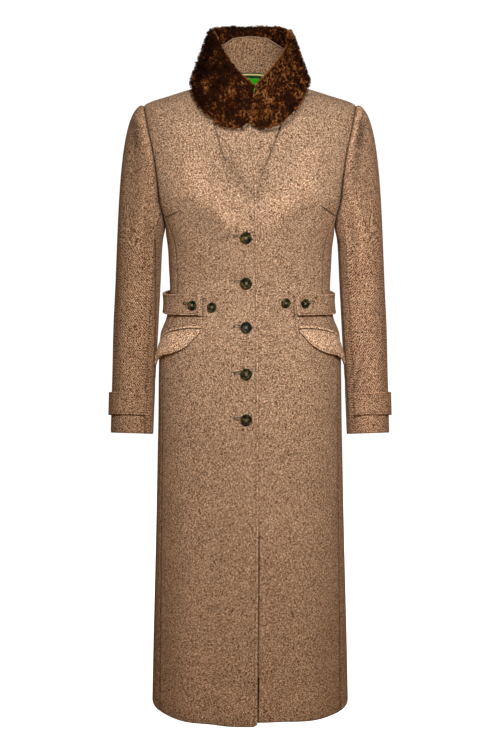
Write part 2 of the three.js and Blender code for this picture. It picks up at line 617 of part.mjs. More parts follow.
// Below it the lining covers the backs' top, narrow at its bottom and wide at the neck seam.
const LINING_LEVELS = [-41, -31, -18, -11, NECK - 1];
const LINING_CUT = { bottom: 34, top: 62, wall: 1, gap: 1.1, columns: 14 };
function neckLining() {
  const surface = (angle, level) => bodyPoint(angle, level)
    .addScaledVector(bodyNormal(angle, level), -CLOTH - LINING_CUT.gap);
  const spots = LINING_LEVELS.map((level, r) => {
    const reach = mix(LINING_CUT.bottom, LINING_CUT.top, r / (LINING_LEVELS.length - 1));
    return Array.from({ length: LINING_CUT.columns + 1 }, (_, c) => [
      mix(180 - reach, 180 + reach, c / LINING_CUT.columns), level,
    ]);
  });
  return panel(surface, spots, { wall: LINING_CUT.wall, step: [0.2, 0.4] });
}
add('neck_lining', neckLining(), LINING);

// Buttons: a disc with a bevelled edge and four holes for the thread.
const BUTTON_LARGE = { diameter: 22.5, thick: 4 };
const BUTTON_SMALL = { diameter: 18.5, thick: 3.6 };
const BEVEL = { high: 0.6, wide: 0.7 };
const HOLE = { apart: 0.1, radius: 0.075 };     // shares of the diameter
function ring(count, radius, x = 0, y = 0) {
  return Array.from({ length: count }, (_, i) => {
    const at = (i * 360 / count) * DEG;
    return new THREE.Vector2(x + radius * Math.cos(at), y + radius * Math.sin(at));
  });
}
function buttonShape({ diameter, thick }) {
  const shape = new THREE.Shape(ring(18, diameter / 2 - BEVEL.wide));
  const apart = diameter * HOLE.apart;
  for (const [x, y] of [[1, 1], [-1, 1], [-1, -1], [1, -1]]) {
    shape.holes.push(new THREE.Path(ring(4, diameter * HOLE.radius, x * apart, y * apart).reverse()));
  }
  return new THREE.ExtrudeGeometry(shape, {
    depth: thick - 2 * BEVEL.high, bevelThickness: BEVEL.high, bevelSize: BEVEL.wide, bevelSegments: 1,
  });
}

// Sets a button on a spot with its normal, its back lifted clear of the cloth.
function button(name, kind, spot, normal, lift) {
  const turned = new THREE.Quaternion().setFromUnitVectors(V(0, 0, 1), normal);
  const centre = spot.clone().addScaledVector(normal, lift + BEVEL.high);
  const geometry = buttonShape(kind);
  geometry.applyQuaternion(turned);
  geometry.translate(centre.x, centre.y, centre.z);
  add(name, geometry, HORN);
}

// On the body, a button rests where its back first meets the curved cloth. x and z are its place in
// the front view.
function bodyButton(name, kind, x, z, lift) {
  const [angle, level] = onBody(x, z);
  const spot = bodyPoint(angle, level);
  const normal = bodyNormal(angle, level);
  const rim = ring(8, kind.diameter / 2, x, z).map((p) => onBody(p.x, p.y));
  const high = Math.max(0, ...rim.map(([a, l]) => bodyPoint(a, l).sub(spot).dot(normal)));
  button(name, kind, spot, normal, high + lift);
}

const FRONT_BUTTONS = { x: -7, levels: [-290, -379, -465, -552, -640] };
FRONT_BUTTONS.levels.forEach((z, i) => {
  bodyButton(`button_front_${i + 1}`, BUTTON_LARGE, FRONT_BUTTONS.x, z, LAP + 0.6);
});
const ON_TAB = STRAP + LAY_GAP + 1.9;
bodyButton('button_tab_right', BUTTON_SMALL, -110, -425, ON_TAB);
bodyButton('button_waist_right', BUTTON_SMALL, -73, -428, 1.7);
bodyButton('button_waist_left', BUTTON_SMALL, 68, -421, 0.8);
bodyButton('button_tab_left', BUTTON_SMALL, 105, -421, ON_TAB);

const CUFF_BUTTON = { at: -86, z: (CUFF_STRAP.top + CUFF_STRAP.bottom) / 2, lift: STRAP + LAY_GAP + 1 };
for (const [side, name] of [[-1, 'right'], [1, 'left']]) {
  const spot = armPoint(CUFF_BUTTON.at, CUFF_BUTTON.z);
  const normal = armNormal(CUFF_BUTTON.at, CUFF_BUTTON.z);
  spot.x *= side;
  normal.x *= side;
  button(`button_cuff_${name}`, BUTTON_SMALL, spot, normal, CUFF_BUTTON.lift);
}

export default coat;
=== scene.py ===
import math

import bpy
import numpy as np
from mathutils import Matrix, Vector


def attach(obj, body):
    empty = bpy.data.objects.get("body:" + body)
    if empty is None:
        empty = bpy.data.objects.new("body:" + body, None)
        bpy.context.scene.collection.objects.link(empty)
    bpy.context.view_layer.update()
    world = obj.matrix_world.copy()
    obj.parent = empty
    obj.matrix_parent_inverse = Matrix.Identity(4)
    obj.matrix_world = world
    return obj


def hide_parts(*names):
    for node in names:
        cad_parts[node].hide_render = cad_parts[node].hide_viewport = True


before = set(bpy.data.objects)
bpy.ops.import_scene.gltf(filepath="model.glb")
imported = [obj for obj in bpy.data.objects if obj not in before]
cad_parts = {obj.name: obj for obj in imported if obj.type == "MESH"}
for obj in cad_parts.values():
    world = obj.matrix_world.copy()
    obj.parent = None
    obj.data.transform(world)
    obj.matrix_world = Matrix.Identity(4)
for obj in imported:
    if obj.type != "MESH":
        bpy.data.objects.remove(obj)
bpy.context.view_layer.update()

# The studio: a pale floor where the wearer would stand, a soft light high in front of the coat, a weak
# warm one low in front and a plain one behind, and the camera level with the collar, tilted down.
MM = 0.001                  # the coat's tables are in millimetres, and Blender works in metres
FLOOR_LEVEL = -1.46
CAMERA_AWAY = 3.181
CAMERA_TILT = 10.3          # degrees down
SKY_ON_COAT = 0.14          # the weak warm light that reaches the coat from all round
SKY_SEEN = 1.06             # and the plain white that the camera sees behind it

camera = bpy.data.objects.new("camera", bpy.data.cameras.new("camera"))
bpy.context.collection.objects.link(camera)
camera.location = (0, -CAMERA_AWAY, 0)
camera.rotation_euler = (math.radians(90 - CAMERA_TILT), 0, 0)
camera.data.lens = 77.75
camera.data.sensor_width = 36
bpy.context.scene.camera = camera
bpy.context.scene.view_settings.view_transform = "Standard"


def soft_light(name, place, aim, size, watts, colour=(1, 1, 1), spread=180):
    lamp = bpy.data.objects.new(name, bpy.data.lights.new(name, "AREA"))
    bpy.context.collection.objects.link(lamp)
    lamp.location = place
    lamp.rotation_euler = (Vector(aim) - Vector(place)).to_track_quat("-Z", "Y").to_euler()
    lamp.data.shape = "DISK"
    lamp.data.size = size
    lamp.data.energy = watts
    lamp.data.color = colour
    lamp.data.spread = math.radians(spread)


soft_light("key_light", place=(0.26, -2.0, 0.56), aim=(0, 0, -0.33), size=0.35, watts=12.6,
           colour=(0.93, 0.95, 1), spread=100)
soft_light("low_fill", place=(0.3, -2.8, -0.9), aim=(0, 0, -1.0), size=1.6, watts=9, colour=(1, 0.5, 0.1))
soft_light("back_fill", place=(0, 2.6, 0.1), aim=(0, 0, -0.6), size=1.6, watts=40)

bpy.ops.mesh.primitive_plane_add(size=60, location=(0, 0, FLOOR_LEVEL))
floor = bpy.context.object
floor.name = "studio_floor"
floor_paint = bpy.data.materials.new("floor_paint")
floor_paint.use_nodes = True
floor_shader = floor_paint.node_tree.nodes["Principled BSDF"]
floor_shader.inputs["Base Color"].default_value = (0.8, 0.8, 0.8, 1)
floor_shader.inputs["Roughness"].default_value = 0.9
floor_shader.inputs["Emission Color"].default_value = (1, 1, 1, 1)
floor_shader.inputs["Emission Strength"].default_value = 1.0
floor.data.materials.append(floor_paint)
floor.visible_diffuse = False       # the floor lights neither the coat's shaded side nor its buttons
floor.visible_glossy = False

world = bpy.data.worlds.new("studio")
bpy.context.scene.world = world
world.use_nodes = True
sky = world.node_tree.nodes["Background"]
seen = world.node_tree.nodes.new("ShaderNodeLightPath")
level_of_sky = world.node_tree.nodes.new("ShaderNodeMapRange")
level_of_sky.inputs["To Min"].default_value = SKY_ON_COAT
level_of_sky.inputs["To Max"].default_value = SKY_SEEN
world.node_tree.links.new(seen.outputs["Is Camera Ray"], level_of_sky.inputs["Value"])
world.node_tree.links.new(level_of_sky.outputs["Result"], sky.inputs["Strength"])
colour_of_sky = world.node_tree.nodes.new("ShaderNodeMix")
colour_of_sky.data_type = "RGBA"
colour_of_sky.inputs[6].default_value = (1, 0.6, 0.32, 1)
colour_of_sky.inputs[7].default_value = (1, 1, 1, 1)
world.node_tree.links.new(seen.outputs["Is Camera Ray"], colour_of_sky.inputs[0])
world.node_tree.links.new(colour_of_sky.outputs[2], sky.inputs["Color"])


# The loden itself: a felted wool cloth of mixed brown, tan and cream fibres, woven on a steep twill and
# brushed, so that it shows as a salt-and-pepper fleck with a faint diagonal and a short matte nap.
class Socket:
    """A shader socket that Python's operators join to Math nodes."""

    def __init__(self, tree, link):
        self.tree = tree
        self.link = link

    def node(self, kind, settings=None, out=0, **sockets):
        made = self.tree.nodes.new("ShaderNode" + kind)
        for name, value in (settings or {}).items():
            if name == "stops":
                ramp = made.color_ramp
                while len(ramp.elements) < len(value):
                    ramp.elements.new(0.5)
                for stop, (place, colour) in zip(ramp.elements, value):
                    stop.position = place
                    stop.color = (*colour, 1)
            else:
                setattr(made, name, value)
        for name, value in sockets.items():
            spot = made.inputs[int(name[1:])] if name[1:].isdigit() else made.inputs[name.replace("_", " ")]
            if isinstance(value, Socket):
                self.tree.links.new(value.link, spot)
            else:
                spot.default_value = value
        return Socket(self.tree, made.outputs[out])

    def maths(self, operation, *values):
        named = {f"i{k}": v for k, v in enumerate(values)}
        return self.node("Math", {"operation": operation}, **named)

    def part(self, number):
        """One number of a place: 0 across, 1 up the cloth or to the back, 2 up the coat."""
        return self.node("SeparateXYZ", out=number, Vector=self)

    def noise(self, scale, detail=2.0, roughness=0.5):
        return self.node("TexNoise", Vector=self, Scale=scale, Detail=detail, Roughness=roughness)

    def bump(self, strength, distance):
        return self.node("Bump", Strength=strength, Distance=distance, Height=self)

    def __add__(self, other):
        return self.maths("ADD", self, other)

    def __sub__(self, other):
        return self.maths("SUBTRACT", self, other)

    def __mul__(self, other):
        return self.maths("MULTIPLY", self, other)

    def __rsub__(self, other):
        return self.maths("SUBTRACT", other, self)

    def __pow__(self, other):
        return self.maths("POWER", self, other)

    __radd__ = __add__
    __rmul__ = __mul__

    def sine(self):
        return self.maths("SINE", self)

    def waves(self, step):
        """Goes from 0 to 1 and back within each step."""
        return (self * (2 * math.pi / step)).sine() * 0.5 + 0.5

    def magnitude(self):
        return self.maths("ABSOLUTE", self)

    def between(self, low, high):
        return self.node("MapRange", {"clamp": True}, Value=self, From_Min=low, From_Max=high)

    def dye(self, first, second):
        """Goes from the first colour at 0 to the second at 1."""
        ends = {"i6": colour_of(first), "i7": colour_of(second)}
        return self.node("Mix", {"data_type": "RGBA"}, out=2, i0=self, **ends)


def colour_of(value):
    return value if isinstance(value, Socket) else (*value, 1)


def srgb(red, green, blue):
    return tuple(((v / 255 + 0.055) / 1.055) ** 2.4 for v in (red, green, blue))


def new_finish(name):
    """A material, its shader, and an empty socket from which its patterns start."""
    finish = bpy.data.materials.new(name)
    finish.use_nodes = True
    shader = finish.node_tree.nodes["Principled BSDF"]
    shader.inputs["Specular IOR Level"].default_value = 0.25
    return finish, shader, Socket(finish.node_tree, None)


def plug(shader, start, **values):
    for name, value in values.items():
        spot = shader.inputs[name.replace("_", " ")]
        if isinstance(value, Socket):
            start.tree.links.new(value.link, spot)
        else:
            spot.default_value = value


TWILL_STEP, PICK_STEP = 0.0031, 0.0021      # metres of cloth between the twill's ribs, and along each rib
SEAM_AND_SHADE_DARK = 0.68                            # how much darker the cloth is deep in a seam and in painted shade
DARK_LINE_REACH = 0.0006, 0.0021                  # how far from a dark line it is darkest, and has faded out


def loden_finish(name="loden", light_tint=(1, 1, 1), dark_lines=()):
    """The cloth. A tint above one paints light on pieces that should look brighter, and one below one
    paints shade on pieces that should look darker. Dark lines are darts, seam lines and painted shadows
    from (x, z) to (x, z) in the front view, in metres, each with how dark it is."""
    finish, shader, start = new_finish(name)
    room = start.node("TexCoord", out=3)
    # The Shade map: darker in seams, painted shade in creases and under parts, painted highlight on ridges.
    seam = start.node("UVMap", {"uv_map": "Shade"}).part(0)
    for (ax, az), (bx, bz), dark in dark_lines:
        long = math.hypot(bx - ax, bz - az)
        ux, uz = (bx - ax) / long, (bz - az) / long
        px, pz = room.part(0) - ax, room.part(2) - az
        down = px * ux + pz * uz
        away = (px * uz - pz * ux).magnitude()
        drawn = down.between(0.0, 0.002) * (1.0 - down.between(long * 0.7, long))
        seam = seam + (1.0 - away.between(*DARK_LINE_REACH)) * drawn * dark
    cloth = start.node("UVMap", {"uv_map": "Cloth"})
    across, along = cloth.part(0), cloth.part(1)
    wander = room.noise(160.0)
    rib = ((across + along * 0.62) * (2 * math.pi / TWILL_STEP) + wander * 7.0).sine()
    pick = ((along - across * 0.35) * (2 * math.pi / PICK_STEP) + wander * 5.0).sine()
    weave = (rib * 0.6 + rib * pick * 0.4).between(-1.0, 1.0)
    fleck, fine, clump = room.noise(730.0, roughness=0.6), room.noise(1500.0, 1.0), room.noise(330.0)
    mixture = (fleck * 0.7 + fine * 0.16 + weave * 0.1 + clump * 0.14 - 0.55) * 3.6 + 0.545
    yarn = start.node("ValToRGB", {"stops": [
        (0.34, srgb(40, 22, 10)),
        (0.47, srgb(104, 68, 43)),
        (0.56, srgb(165, 119, 85)),
        (0.65, srgb(211, 165, 126)),
        (0.78, srgb(255, 226, 190)),
    ]}, Fac=mixture)
    wear_and_painted_rim = room.noise(7.0).between(0.35, 0.65) * 0.07 + 0.93
    light_tinted = start.node("VectorMath", {"operation": "MULTIPLY"}, i0=yarn, i1=light_tint)
    shade = wear_and_painted_rim * (1.0 - seam * SEAM_AND_SHADE_DARK)
    toned = start.node("VectorMath", {"operation": "SCALE"}, i0=light_tinted, Scale=shade)
    nap = fleck * 0.5 + fine * 0.35 + weave * 0.35 - seam * 0.6
    plug(shader, start, Base_Color=toned, Roughness=fleck.between(0.2, 0.8) * 0.08 + 0.88,
         Normal=nap.bump(0.55, 0.0006))
    shader.inputs["Sheen Weight"].default_value = 0.12
    shader.inputs["Sheen Roughness"].default_value = 0.5
    shader.inputs["Sheen Tint"].default_value = (*srgb(226, 190, 158), 1)
    return finish


loden = loden_finish()


# The body of the coat. Its form is a stack of round sections, the same ones that the solids have,
# measured from the middle of the neck opening, with soft flutes in the skirt.
SIDES = ((-1, "right"), (1, "left"))        # the wearer's, and the way each lies along x
CLOTH = 2.4                 # thickness of one layer
STRAP = 3.6                 # and of a strap's two pressed layers
NECK, SHOULDER, UNDERARM, HEM = -4, -48, -290, -1252        # levels
FRONT_NECK_DROP = 46        # how far the neck's seam dips at the centre front
BACK_NECK_RISE = 12         # and rises at the centre back
SECTIONS = [  # level, half width, depth to the front, depth to the back, squareness
    (-1252, 201, 162, 158, 2.3), (-1130, 197.5, 156, 153, 2.3), (-960, 192, 148, 147, 2.3),
    (-792, 187, 140, 142, 2.3), (-650, 183, 134, 138, 2.25), (-571, 181.5, 130, 134, 2.25),
    (-520, 180, 126, 130, 2.2), (-492, 177, 121, 123, 2.2), (-460, 165, 113, 111, 2.15),
    (-420, 159.5, 106.5, 100, 2.15), (-380, 159.5, 107, 97, 2.15), (-335, 160.5, 116, 99, 2.2),
    (-290, 166, 127, 104, 2.2), (-258, 177, 131, 107, 2.2), (-227, 191, 132, 109, 2.2),
    (-156, 205, 122, 109, 2.15), (-97, 209, 108, 103, 2.1), (-48, 204.4, 96, 94, 2.05),
    (-26, 147, 87, 81, 2), (-4, 72, 77, 62, 2),
]
FLUTES = [  # where round the body, how wide, how deep at the hem, the level where it starts
    (-38, 11, 3.5, -560), (-20, 8, -2.5, -640), (16, 8, -3.5, -420), (36, 12, 4, -600),
    (78, 12, 1.5, -640), (118, 13, -4, -560), (150, 12, 5, -520), (180, 10, -3, -560),
    (-150, 12, 5, -520), (-116, 13, -4, -560), (-76, 12, 1, -640),
]


def smooth(low, high, value):
    t = np.clip((value - low) / (high - low), 0, 1)
    return t * t * (3 - 2 * t)


def through(rows, column):
    """A smooth curve through a table's rows, by their first column, that never overshoots them."""
    x = np.array([r[0] for r in rows], float)
    y = np.array([r[column] for r in rows], float)
    slope = np.diff(y) / np.diff(x)
    a, b = slope[:-1], slope[1:]
    same = a * b > 0
    bend = np.where(same, 2 * a * b / np.where(same, a + b, 1), 0)
    tangent = np.concatenate([slope[:1], bend, slope[-1:]])

    def at(value):
        v = np.clip(value, x[0], x[-1])
        i = np.clip(np.searchsorted(x, v, side="right") - 1, 0, len(x) - 2)
        h = x[i + 1] - x[i]
        t = (v - x[i]) / h
        s = 1 - t
        return (y[i] * s * s * (1 + 2 * t) + y[i + 1] * t * t * (3 - 2 * t)
                + h * (tangent[i] * s * s * t - tangent[i + 1] * t * t * s))
    return at


body_width, body_front, body_back, body_square = (through(SECTIONS, k) for k in (1, 2, 3, 4))


def turned(a, b):
    """The angle from a to b, the short way round."""
    return (b - a + 540) % 360 - 180


def body_point(angle, level):
    """The outer surface. Angle 0 is the centre front, 90 the wearer's left side, 180 the back."""
    angle, level = np.broadcast_arrays(np.asarray(angle, float), np.asarray(level, float))
    s, c = np.sin(np.radians(angle)), np.cos(np.radians(angle))
    power = 2 / body_square(level)
    flute = sum(deep * np.exp(-(turned(place, angle) / wide) ** 2)
                * smooth(0, 1, (level - start) / (HEM - start)) for place, wide, deep, start in FLUTES)
    depth = np.where(c > 0, body_front(level), body_back(level))
    tilt = smooth(-230, NECK, level) * c * c * np.where(c > 0, -FRONT_NECK_DROP, BACK_NECK_RISE)
    return np.stack([
        (body_width(level) + flute) * np.sign(s) * np.abs(s) ** power,
        -(depth + flute) * np.sign(c) * np.abs(c) ** power,
        level + tilt,
    ], -1)


def angle_at(x, level):
    share = np.minimum(np.abs(x) / body_width(level), 0.9999)
    return np.sign(x) * np.degrees(np.arcsin(share ** (body_square(level) / 2)))


def on_body(x, z, behind=False):
    """Where a spot of the front or back view, x across and z high, lies on the body."""
    x, z = np.broadcast_arrays(np.asarray(x, float), np.asarray(z, float))
    low, high = np.full(x.shape, float(HEM)), np.full(x.shape, float(NECK))
    for _ in range(36):
        level = (low + high) / 2
        angle = angle_at(x, level)
        angle = 180 - angle if behind else angle
        under = body_point(angle, level)[..., 2] < z
        low, high = np.where(under, level, low), np.where(under, high, level)
    return angle, (low + high) / 2


def normals(points):
    """The normals of a grid of points, along its columns crossed with up its rows."""
    across = np.gradient(points, axis=1)
    up = np.gradient(points, axis=0)
    n = np.cross(across, up)
    return n / np.linalg.norm(n, axis=-1, keepdims=True)


def arcs(points, axis):
    """The length along a grid's rows or columns, from its first edge."""
    step = np.linalg.norm(np.diff(points, axis=axis), axis=-1)
    start = np.zeros_like(np.take(step, [0], axis=axis))
    return np.concatenate([start, np.cumsum(step, axis=axis)], axis=axis)


def mesh_object(name, points, faces, places, finish, sharp=35, shade=None):
    """A mesh from points in millimetres, with each point's place on the cloth and its seam and painted
    shade.
    """
    made = bpy.data.meshes.new(name)
    made.from_pydata((points * MM).tolist(), [], faces.tolist())
    spots = np.zeros(len(made.loops), np.int32)
    made.loops.foreach_get("vertex_index", spots)
    on_cloth = (places[spots] * MM).astype(np.float32)
    made.uv_layers.new(name="Cloth").uv.foreach_set("vector", on_cloth.ravel())
    if shade is not None:
        depth = np.stack([shade[spots], 0 * shade[spots]], -1).astype(np.float32)
        made.uv_layers.new(name="Shade").uv.foreach_set("vector", depth.ravel())
    made.shade_smooth()
    made.set_sharp_from_angle(angle=math.radians(sharp))
    made.materials.append(finish)
    thing = bpy.data.objects.new(name, made)
    bpy.context.collection.objects.link(thing)
    return thing


def grid_faces(rows, columns, first=0):
    at = first + np.arange(rows * columns).reshape(rows, columns)
    return np.stack([at[:-1, :-1], at[:-1, 1:], at[1:, 1:], at[1:, :-1]], -1).reshape(-1, 4)


SEAM_DEEP = 1.1             # where the cloth is at its darkest
RIDGE_HIGHLIGHT = 0.45           # how far a ridge is painted pale as a highlight, at most


def cloth_wall(name, outer, inner, finish, sharp=35, marks=None):
    """Closes two layers of points into one thin piece of cloth. Marks are the heights of its ridges and,
    below zero, the depths of its seams and of its painted shade. They also set the cloth's Shade map:
    darker in the seams and the painted shade, and painted pale as a highlight on the ridges."""
    rows, columns = outer.shape[:2]
    count = rows * columns
    at = np.arange(count).reshape(rows, columns)
    rim = np.concatenate([at[0, :-1], at[:-1, -1], at[-1, :0:-1], at[:0:-1, 0]])
    follow = np.roll(rim, -1)
    top = grid_faces(rows, columns)
    faces = np.concatenate([
        top, grid_faces(rows, columns, count)[:, ::-1],
        np.stack([follow, rim, rim + count, follow + count], -1),
    ])
    points = np.concatenate([outer.reshape(-1, 3), inner.reshape(-1, 3)])
    corner = points[faces]
    volume = np.einsum("ij,ij->i", corner[:, 0], np.cross(corner[:, 1], corner[:, 2])).sum()
    places = np.stack([arcs(outer, 1), arcs(outer, 0)], -1).reshape(-1, 2)
    shade = None if marks is None else np.tile(np.clip(-marks / SEAM_DEEP, -RIDGE_HIGHLIGHT, 1).ravel(), 2)
    return mesh_object(name, points, faces if volume > 0 else faces[:, ::-1],
                       np.concatenate([places, places]), finish, sharp, shade)


def fasten(piece, stands_for=None):
    """Attaches the piece to what it moves with, and hides the solid whose place it takes, if it has one."""
    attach(piece, "root")
    if stands_for:
        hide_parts(stands_for)


def declare_cloth(piece):
    """Fastens a panel of cloth and hides the solid it stands for, named like it without _cloth."""
    fasten(piece, piece.name.removesuffix("_cloth"))


def edge_grid(count, near=(0.0, 0.0015, 0.004, 0.008, 0.014)):
    """Shares across a panel, packed close at both edges so that the seams can be rounded."""
    near = np.array(near)
    middle = np.linspace(near[-1], 1 - near[-1], count)
    return np.concatenate([near[:-1], middle, 1 - near[:-1][::-1]])


def seam_roll(distance, deep=1.3, wide=2.2):
    """How far the cloth rolls in towards a seam, by the distance from it."""
    return -deep * np.exp(-(distance / wide) ** 2)


def crease(points, a, b, wide, deep):
    """A trough or, if deep is positive, a ridge along a line in the front view, fading at its ends."""
    a, b = np.array(a, float), np.array(b, float)
    flat = points[..., [0, 2]] - a
    line = b - a
    t = flat @ line / (line @ line)
    away = np.linalg.norm(flat - np.clip(t, 0, 1)[..., None] * line, axis=-1)
    fade = smooth(-0.25, 0.15, t) * smooth(1.25, 0.85, t)
    return deep * np.exp(-(away / wide) ** 2) * fade


# The armholes and the side seams, where the body's panels and the sleeves are sewn together. The
# panels share them, and the levels of their rows, so that their edges meet along each seam.
ARMHOLE_MIDDLE = (SHOULDER + UNDERARM) / 2
ARMHOLE_HALF = (SHOULDER - UNDERARM) / 2
ARMHOLE_FRONT = 29          # degrees round the body from the side to the armhole's front, at its middle
ARMHOLE_BACK = 27
COLUMN = 360 / 22           # the solids' step round the armhole, from the top of the shoulder
JOIN = 8 * COLUMN           # where the side panel and the under sleeve begin


def armhole_level(at):
    return ARMHOLE_MIDDLE + ARMHOLE_HALF * np.cos(np.radians(at))


def armhole_angle(at):
    s = np.sin(np.radians(at))
    return 90 - np.where(s > 0, ARMHOLE_FRONT, ARMHOLE_BACK) * s


JOIN_LEVEL = float(armhole_level(JOIN))
front_seam = through([(HEM, 63), (-940, 66), (-520, 70), (-470, 67), (-420, 61), (-350, 61),
                      (JOIN_LEVEL, float(armhole_angle(JOIN)))], 1)
back_seam = through([(HEM, 114), (-520, 112), (-420, 115),
                     (JOIN_LEVEL, float(armhole_angle(360 - JOIN)))], 1)


def panel_rows(seam, sign):
    """The levels of a front's or back's rows, and the angle of its outer edge at each."""
    hem = HEM + np.array([0, 0.8, 2, 4, 8])
    skirt = np.concatenate([hem, np.linspace(HEM + 16, JOIN_LEVEL, 118)])
    turns = np.linspace(JOIN, 0, 44)[1:]
    shoulder = np.concatenate([np.linspace(SHOULDER, NECK, 17)[1:-1], [NECK - 1, NECK]])
    levels = np.concatenate([skirt, armhole_level(turns), shoulder])
    outer = np.concatenate([seam(skirt), armhole_angle(sign * turns), np.full(len(shoulder), 90.0)])
    return levels, outer


def panel_layers(points, soft, mark, out, lift=0.0, doubled=0.0):
    """The outer and inner points of a panel. Soft relief moves both, and shallow marks only the outer.
    Out is -1 where the grid's columns run the other way round the body."""
    n = normals(points) * out
    shaped = points + n * (lift + soft)[..., None]
    return shaped + n * mark[..., None], shaped - n * (CLOTH + doubled)[..., None]


HEM_TURN = 38.0             # how far the hem is turned up inside
TURN_THICK = 2.0            # and what it adds to the wall


def hem_turn(above):
    """The turned-up hem lies inside the panel, so the wall is nearly doubled there."""
    return TURN_THICK * smooth(HEM_TURN + 1.5, HEM_TURN, above)


# The right front laps over the left one. Both have a stitched edge, a long neck dart that runs out
# over the bust, a short dart from the side, and a rounded lower corner.
LAP = CLOTH + 0.9
CREASE_SHADE = 0.085             # painted shade in the creases, and painted highlight on their backs
CORNER = 9                  # radius of the rounded lower corner
LEFT_FRONT_SHORTER = 9
over_edge = through([(HEM, 15), (-720, 17.5), (-430, 15.5), (-180, 13), (-90, 5), (NECK, 1.5)], 1)
under_edge = through([(HEM, -32), (-180, -30), (NECK, -14)], 1)
STITCH_INSET = 4.5          # from a finished edge to its pressed stitch line
FRONT_DARTS_AND_SHADOWS = [  # darts and painted shadows, from (x, z) to (x, z), and how dark
    ((-68, -80), (-44, -158), 0.8), ((60, -78), (24, -172), 0.8),
    ((-165, -260), (-130, -241), 1.1), ((165, -257), (131, -230), 1.1),
    ((-150, -450), (-76, -444.5), 1.2), ((-90.5, -409), (-90.5, -458), 0.8),    # painted shadows under and at the ends of the tabs
    ((150, -450), (70, -444.5), 1.2), ((84.5, -404), (84.5, -458), 0.8),
    ((18, -860), (17.5, -1010), 1.0), ((17.3, -985), (16.1, -1250), 0.9),       # painted shadow beside the open edge
    ((16.7, -1150), (16.1, -1300), 0.8),
]
FRONT_CREASES = [  # from (x, z) to (x, z), half width, depth; the first ones are the fullness of the bust
    ((-125, -175), (-30, -262), 24, 4.2), ((-122, -228), (-55, -292), 20, -3.4),
    ((125, -180), (30, -258), 24, 3.2), ((122, -228), (55, -290), 20, -2.6),
    ((-66, -87), (-45, -150), 7, -1.2), ((-48, -140), (6, -215), 14, -5.6),
    ((59, -83), (24, -168), 7, -1.2), ((27, -150), (18, -225), 12, -4.0),
    ((-163, -259), (-133, -243), 5, -1.4), ((-140, -247), (-105, -228), 9, 1.6),
    ((163, -256), (134, -233), 5, -1.4), ((140, -238), (108, -218), 9, 1.6),
    ((-118, -90), (-100, -190), 20, 1.8), ((120, -90), (102, -190), 20, 1.8),
    ((-120, -385), (-60, -372), 9, -1.2), ((118, -382), (58, -370), 9, -1.2),
    ((-150, -455), (-110, -445), 8, -1.3), ((150, -452), (112, -444), 8, -1.3),
    ((-150, -300), (-118, -340), 10, -1.3), ((150, -296), (120, -338), 10, -1.3),
]
FUR_SHADOW_LINE = [  # painted shadow under the fur's free edge, along this line in the front view
    (-109, -20), (-97, -53), (-71, -77), (-45, -91), (-20, -93), (4, -82),
    (10, -83), (29, -94), (57, -88), (80, -70), (97, -46), (110, -20),
]
front_loden = loden_finish("loden_front", dark_lines=[
    ((ax * MM, az * MM), (bx * MM, bz * MM), dark) for (ax, az), (bx, bz), dark in FRONT_DARTS_AND_SHADOWS
])


def lap_lift(x):
    return LAP * smooth(-78, -40, x)


def front_soft(points):
    return sum(crease(points, *line) for line in FRONT_CREASES)


def front_panel(side, name):
    over = side < 0
    levels, outer_angle = panel_rows(front_seam, 1)
    shares = edge_grid(44, (0.0, 0.0025, 0.006, 0.011, 0.0155, 0.018, 0.0205, 0.023, 0.026, 0.033))
    edge = angle_at(over_edge(levels) if over else under_edge(levels), levels)[:, None]
    angles = edge + (side * outer_angle[:, None] - edge) * shares
    rows = np.repeat(levels[:, None], len(shares), 1)
    from_edge = shares * np.abs(side * outer_angle[:, None] - edge) * math.radians(1) * body_width(rows)
    corner = CORNER - np.sqrt(np.maximum(0, CORNER ** 2 - np.maximum(0, CORNER - from_edge) ** 2))
    short = 0 if over else LEFT_FRONT_SHORTER * (1 - shares)
    rows = rows + (corner + short) * smooth(HEM + 60, HEM, rows)
    points = body_point(angles, rows)
    to_side = arcs(points, 1)[:, -1:] - arcs(points, 1)
    soft = front_soft(points)
    mark = seam_roll(to_side, 0.9) + seam_roll(from_edge, 1.2, 0.7)
    mark = mark + seam_roll(from_edge - STITCH_INSET, 0.5, 0.8)
    mark = mark + 0.8 * np.exp(-((from_edge - 2.0) / 1.4) ** 2)       # the turned edge is full, and painted pale as a highlight
    mark = mark + seam_roll(rows - HEM - (corner + short), 0.8, 1.6)
    shoulder = smooth(SHOULDER - 4, SHOULDER + 4, rows)
    mark = mark + seam_roll(to_side, 0.5, 3) * shoulder
    lift = lap_lift(points[..., 0]) if over else 0.0
    outer, inner = panel_layers(points, soft, mark, side, lift, hem_turn(rows - HEM))
    # Painted shade in the cloth's colour only: under the fur's edge, along the hem and under the arm.
    dark = np.minimum.reduce([crease(points, a, b, 3.4, -1.1) for a, b in zip(FUR_SHADOW_LINE, FUR_SHADOW_LINE[1:])])
    dark = dark - 0.35 * np.exp(-((rows - HEM) / 16) ** 2)            # painted shade along the turned-up hem
    under_arm_shade = smooth(-140, -200, rows) * (rows > JOIN_LEVEL)
    dark = dark - 0.7 * np.exp(-(to_side / 8) ** 2) * under_arm_shade
    wall = cloth_wall(f"front_{name}_cloth", outer, inner, front_loden, marks=mark + soft * CREASE_SHADE + dark)
    declare_cloth(wall)


for side, name in SIDES:
    front_panel(side, name)


# The backs meet in a plain pressed-open seam down the middle, with soft hollows either side of it
# above the half belt.
BACK_CREASES = [            # on both backs: from x, z to x, z, half width, depth
    (95, -100, 70, -300, 22, -1.8), (120, -370, 50, -392, 12, -2.2),
    (110, -335, 60, -352, 10, -1.4), (100, -470, 80, -600, 16, 1.6),
]


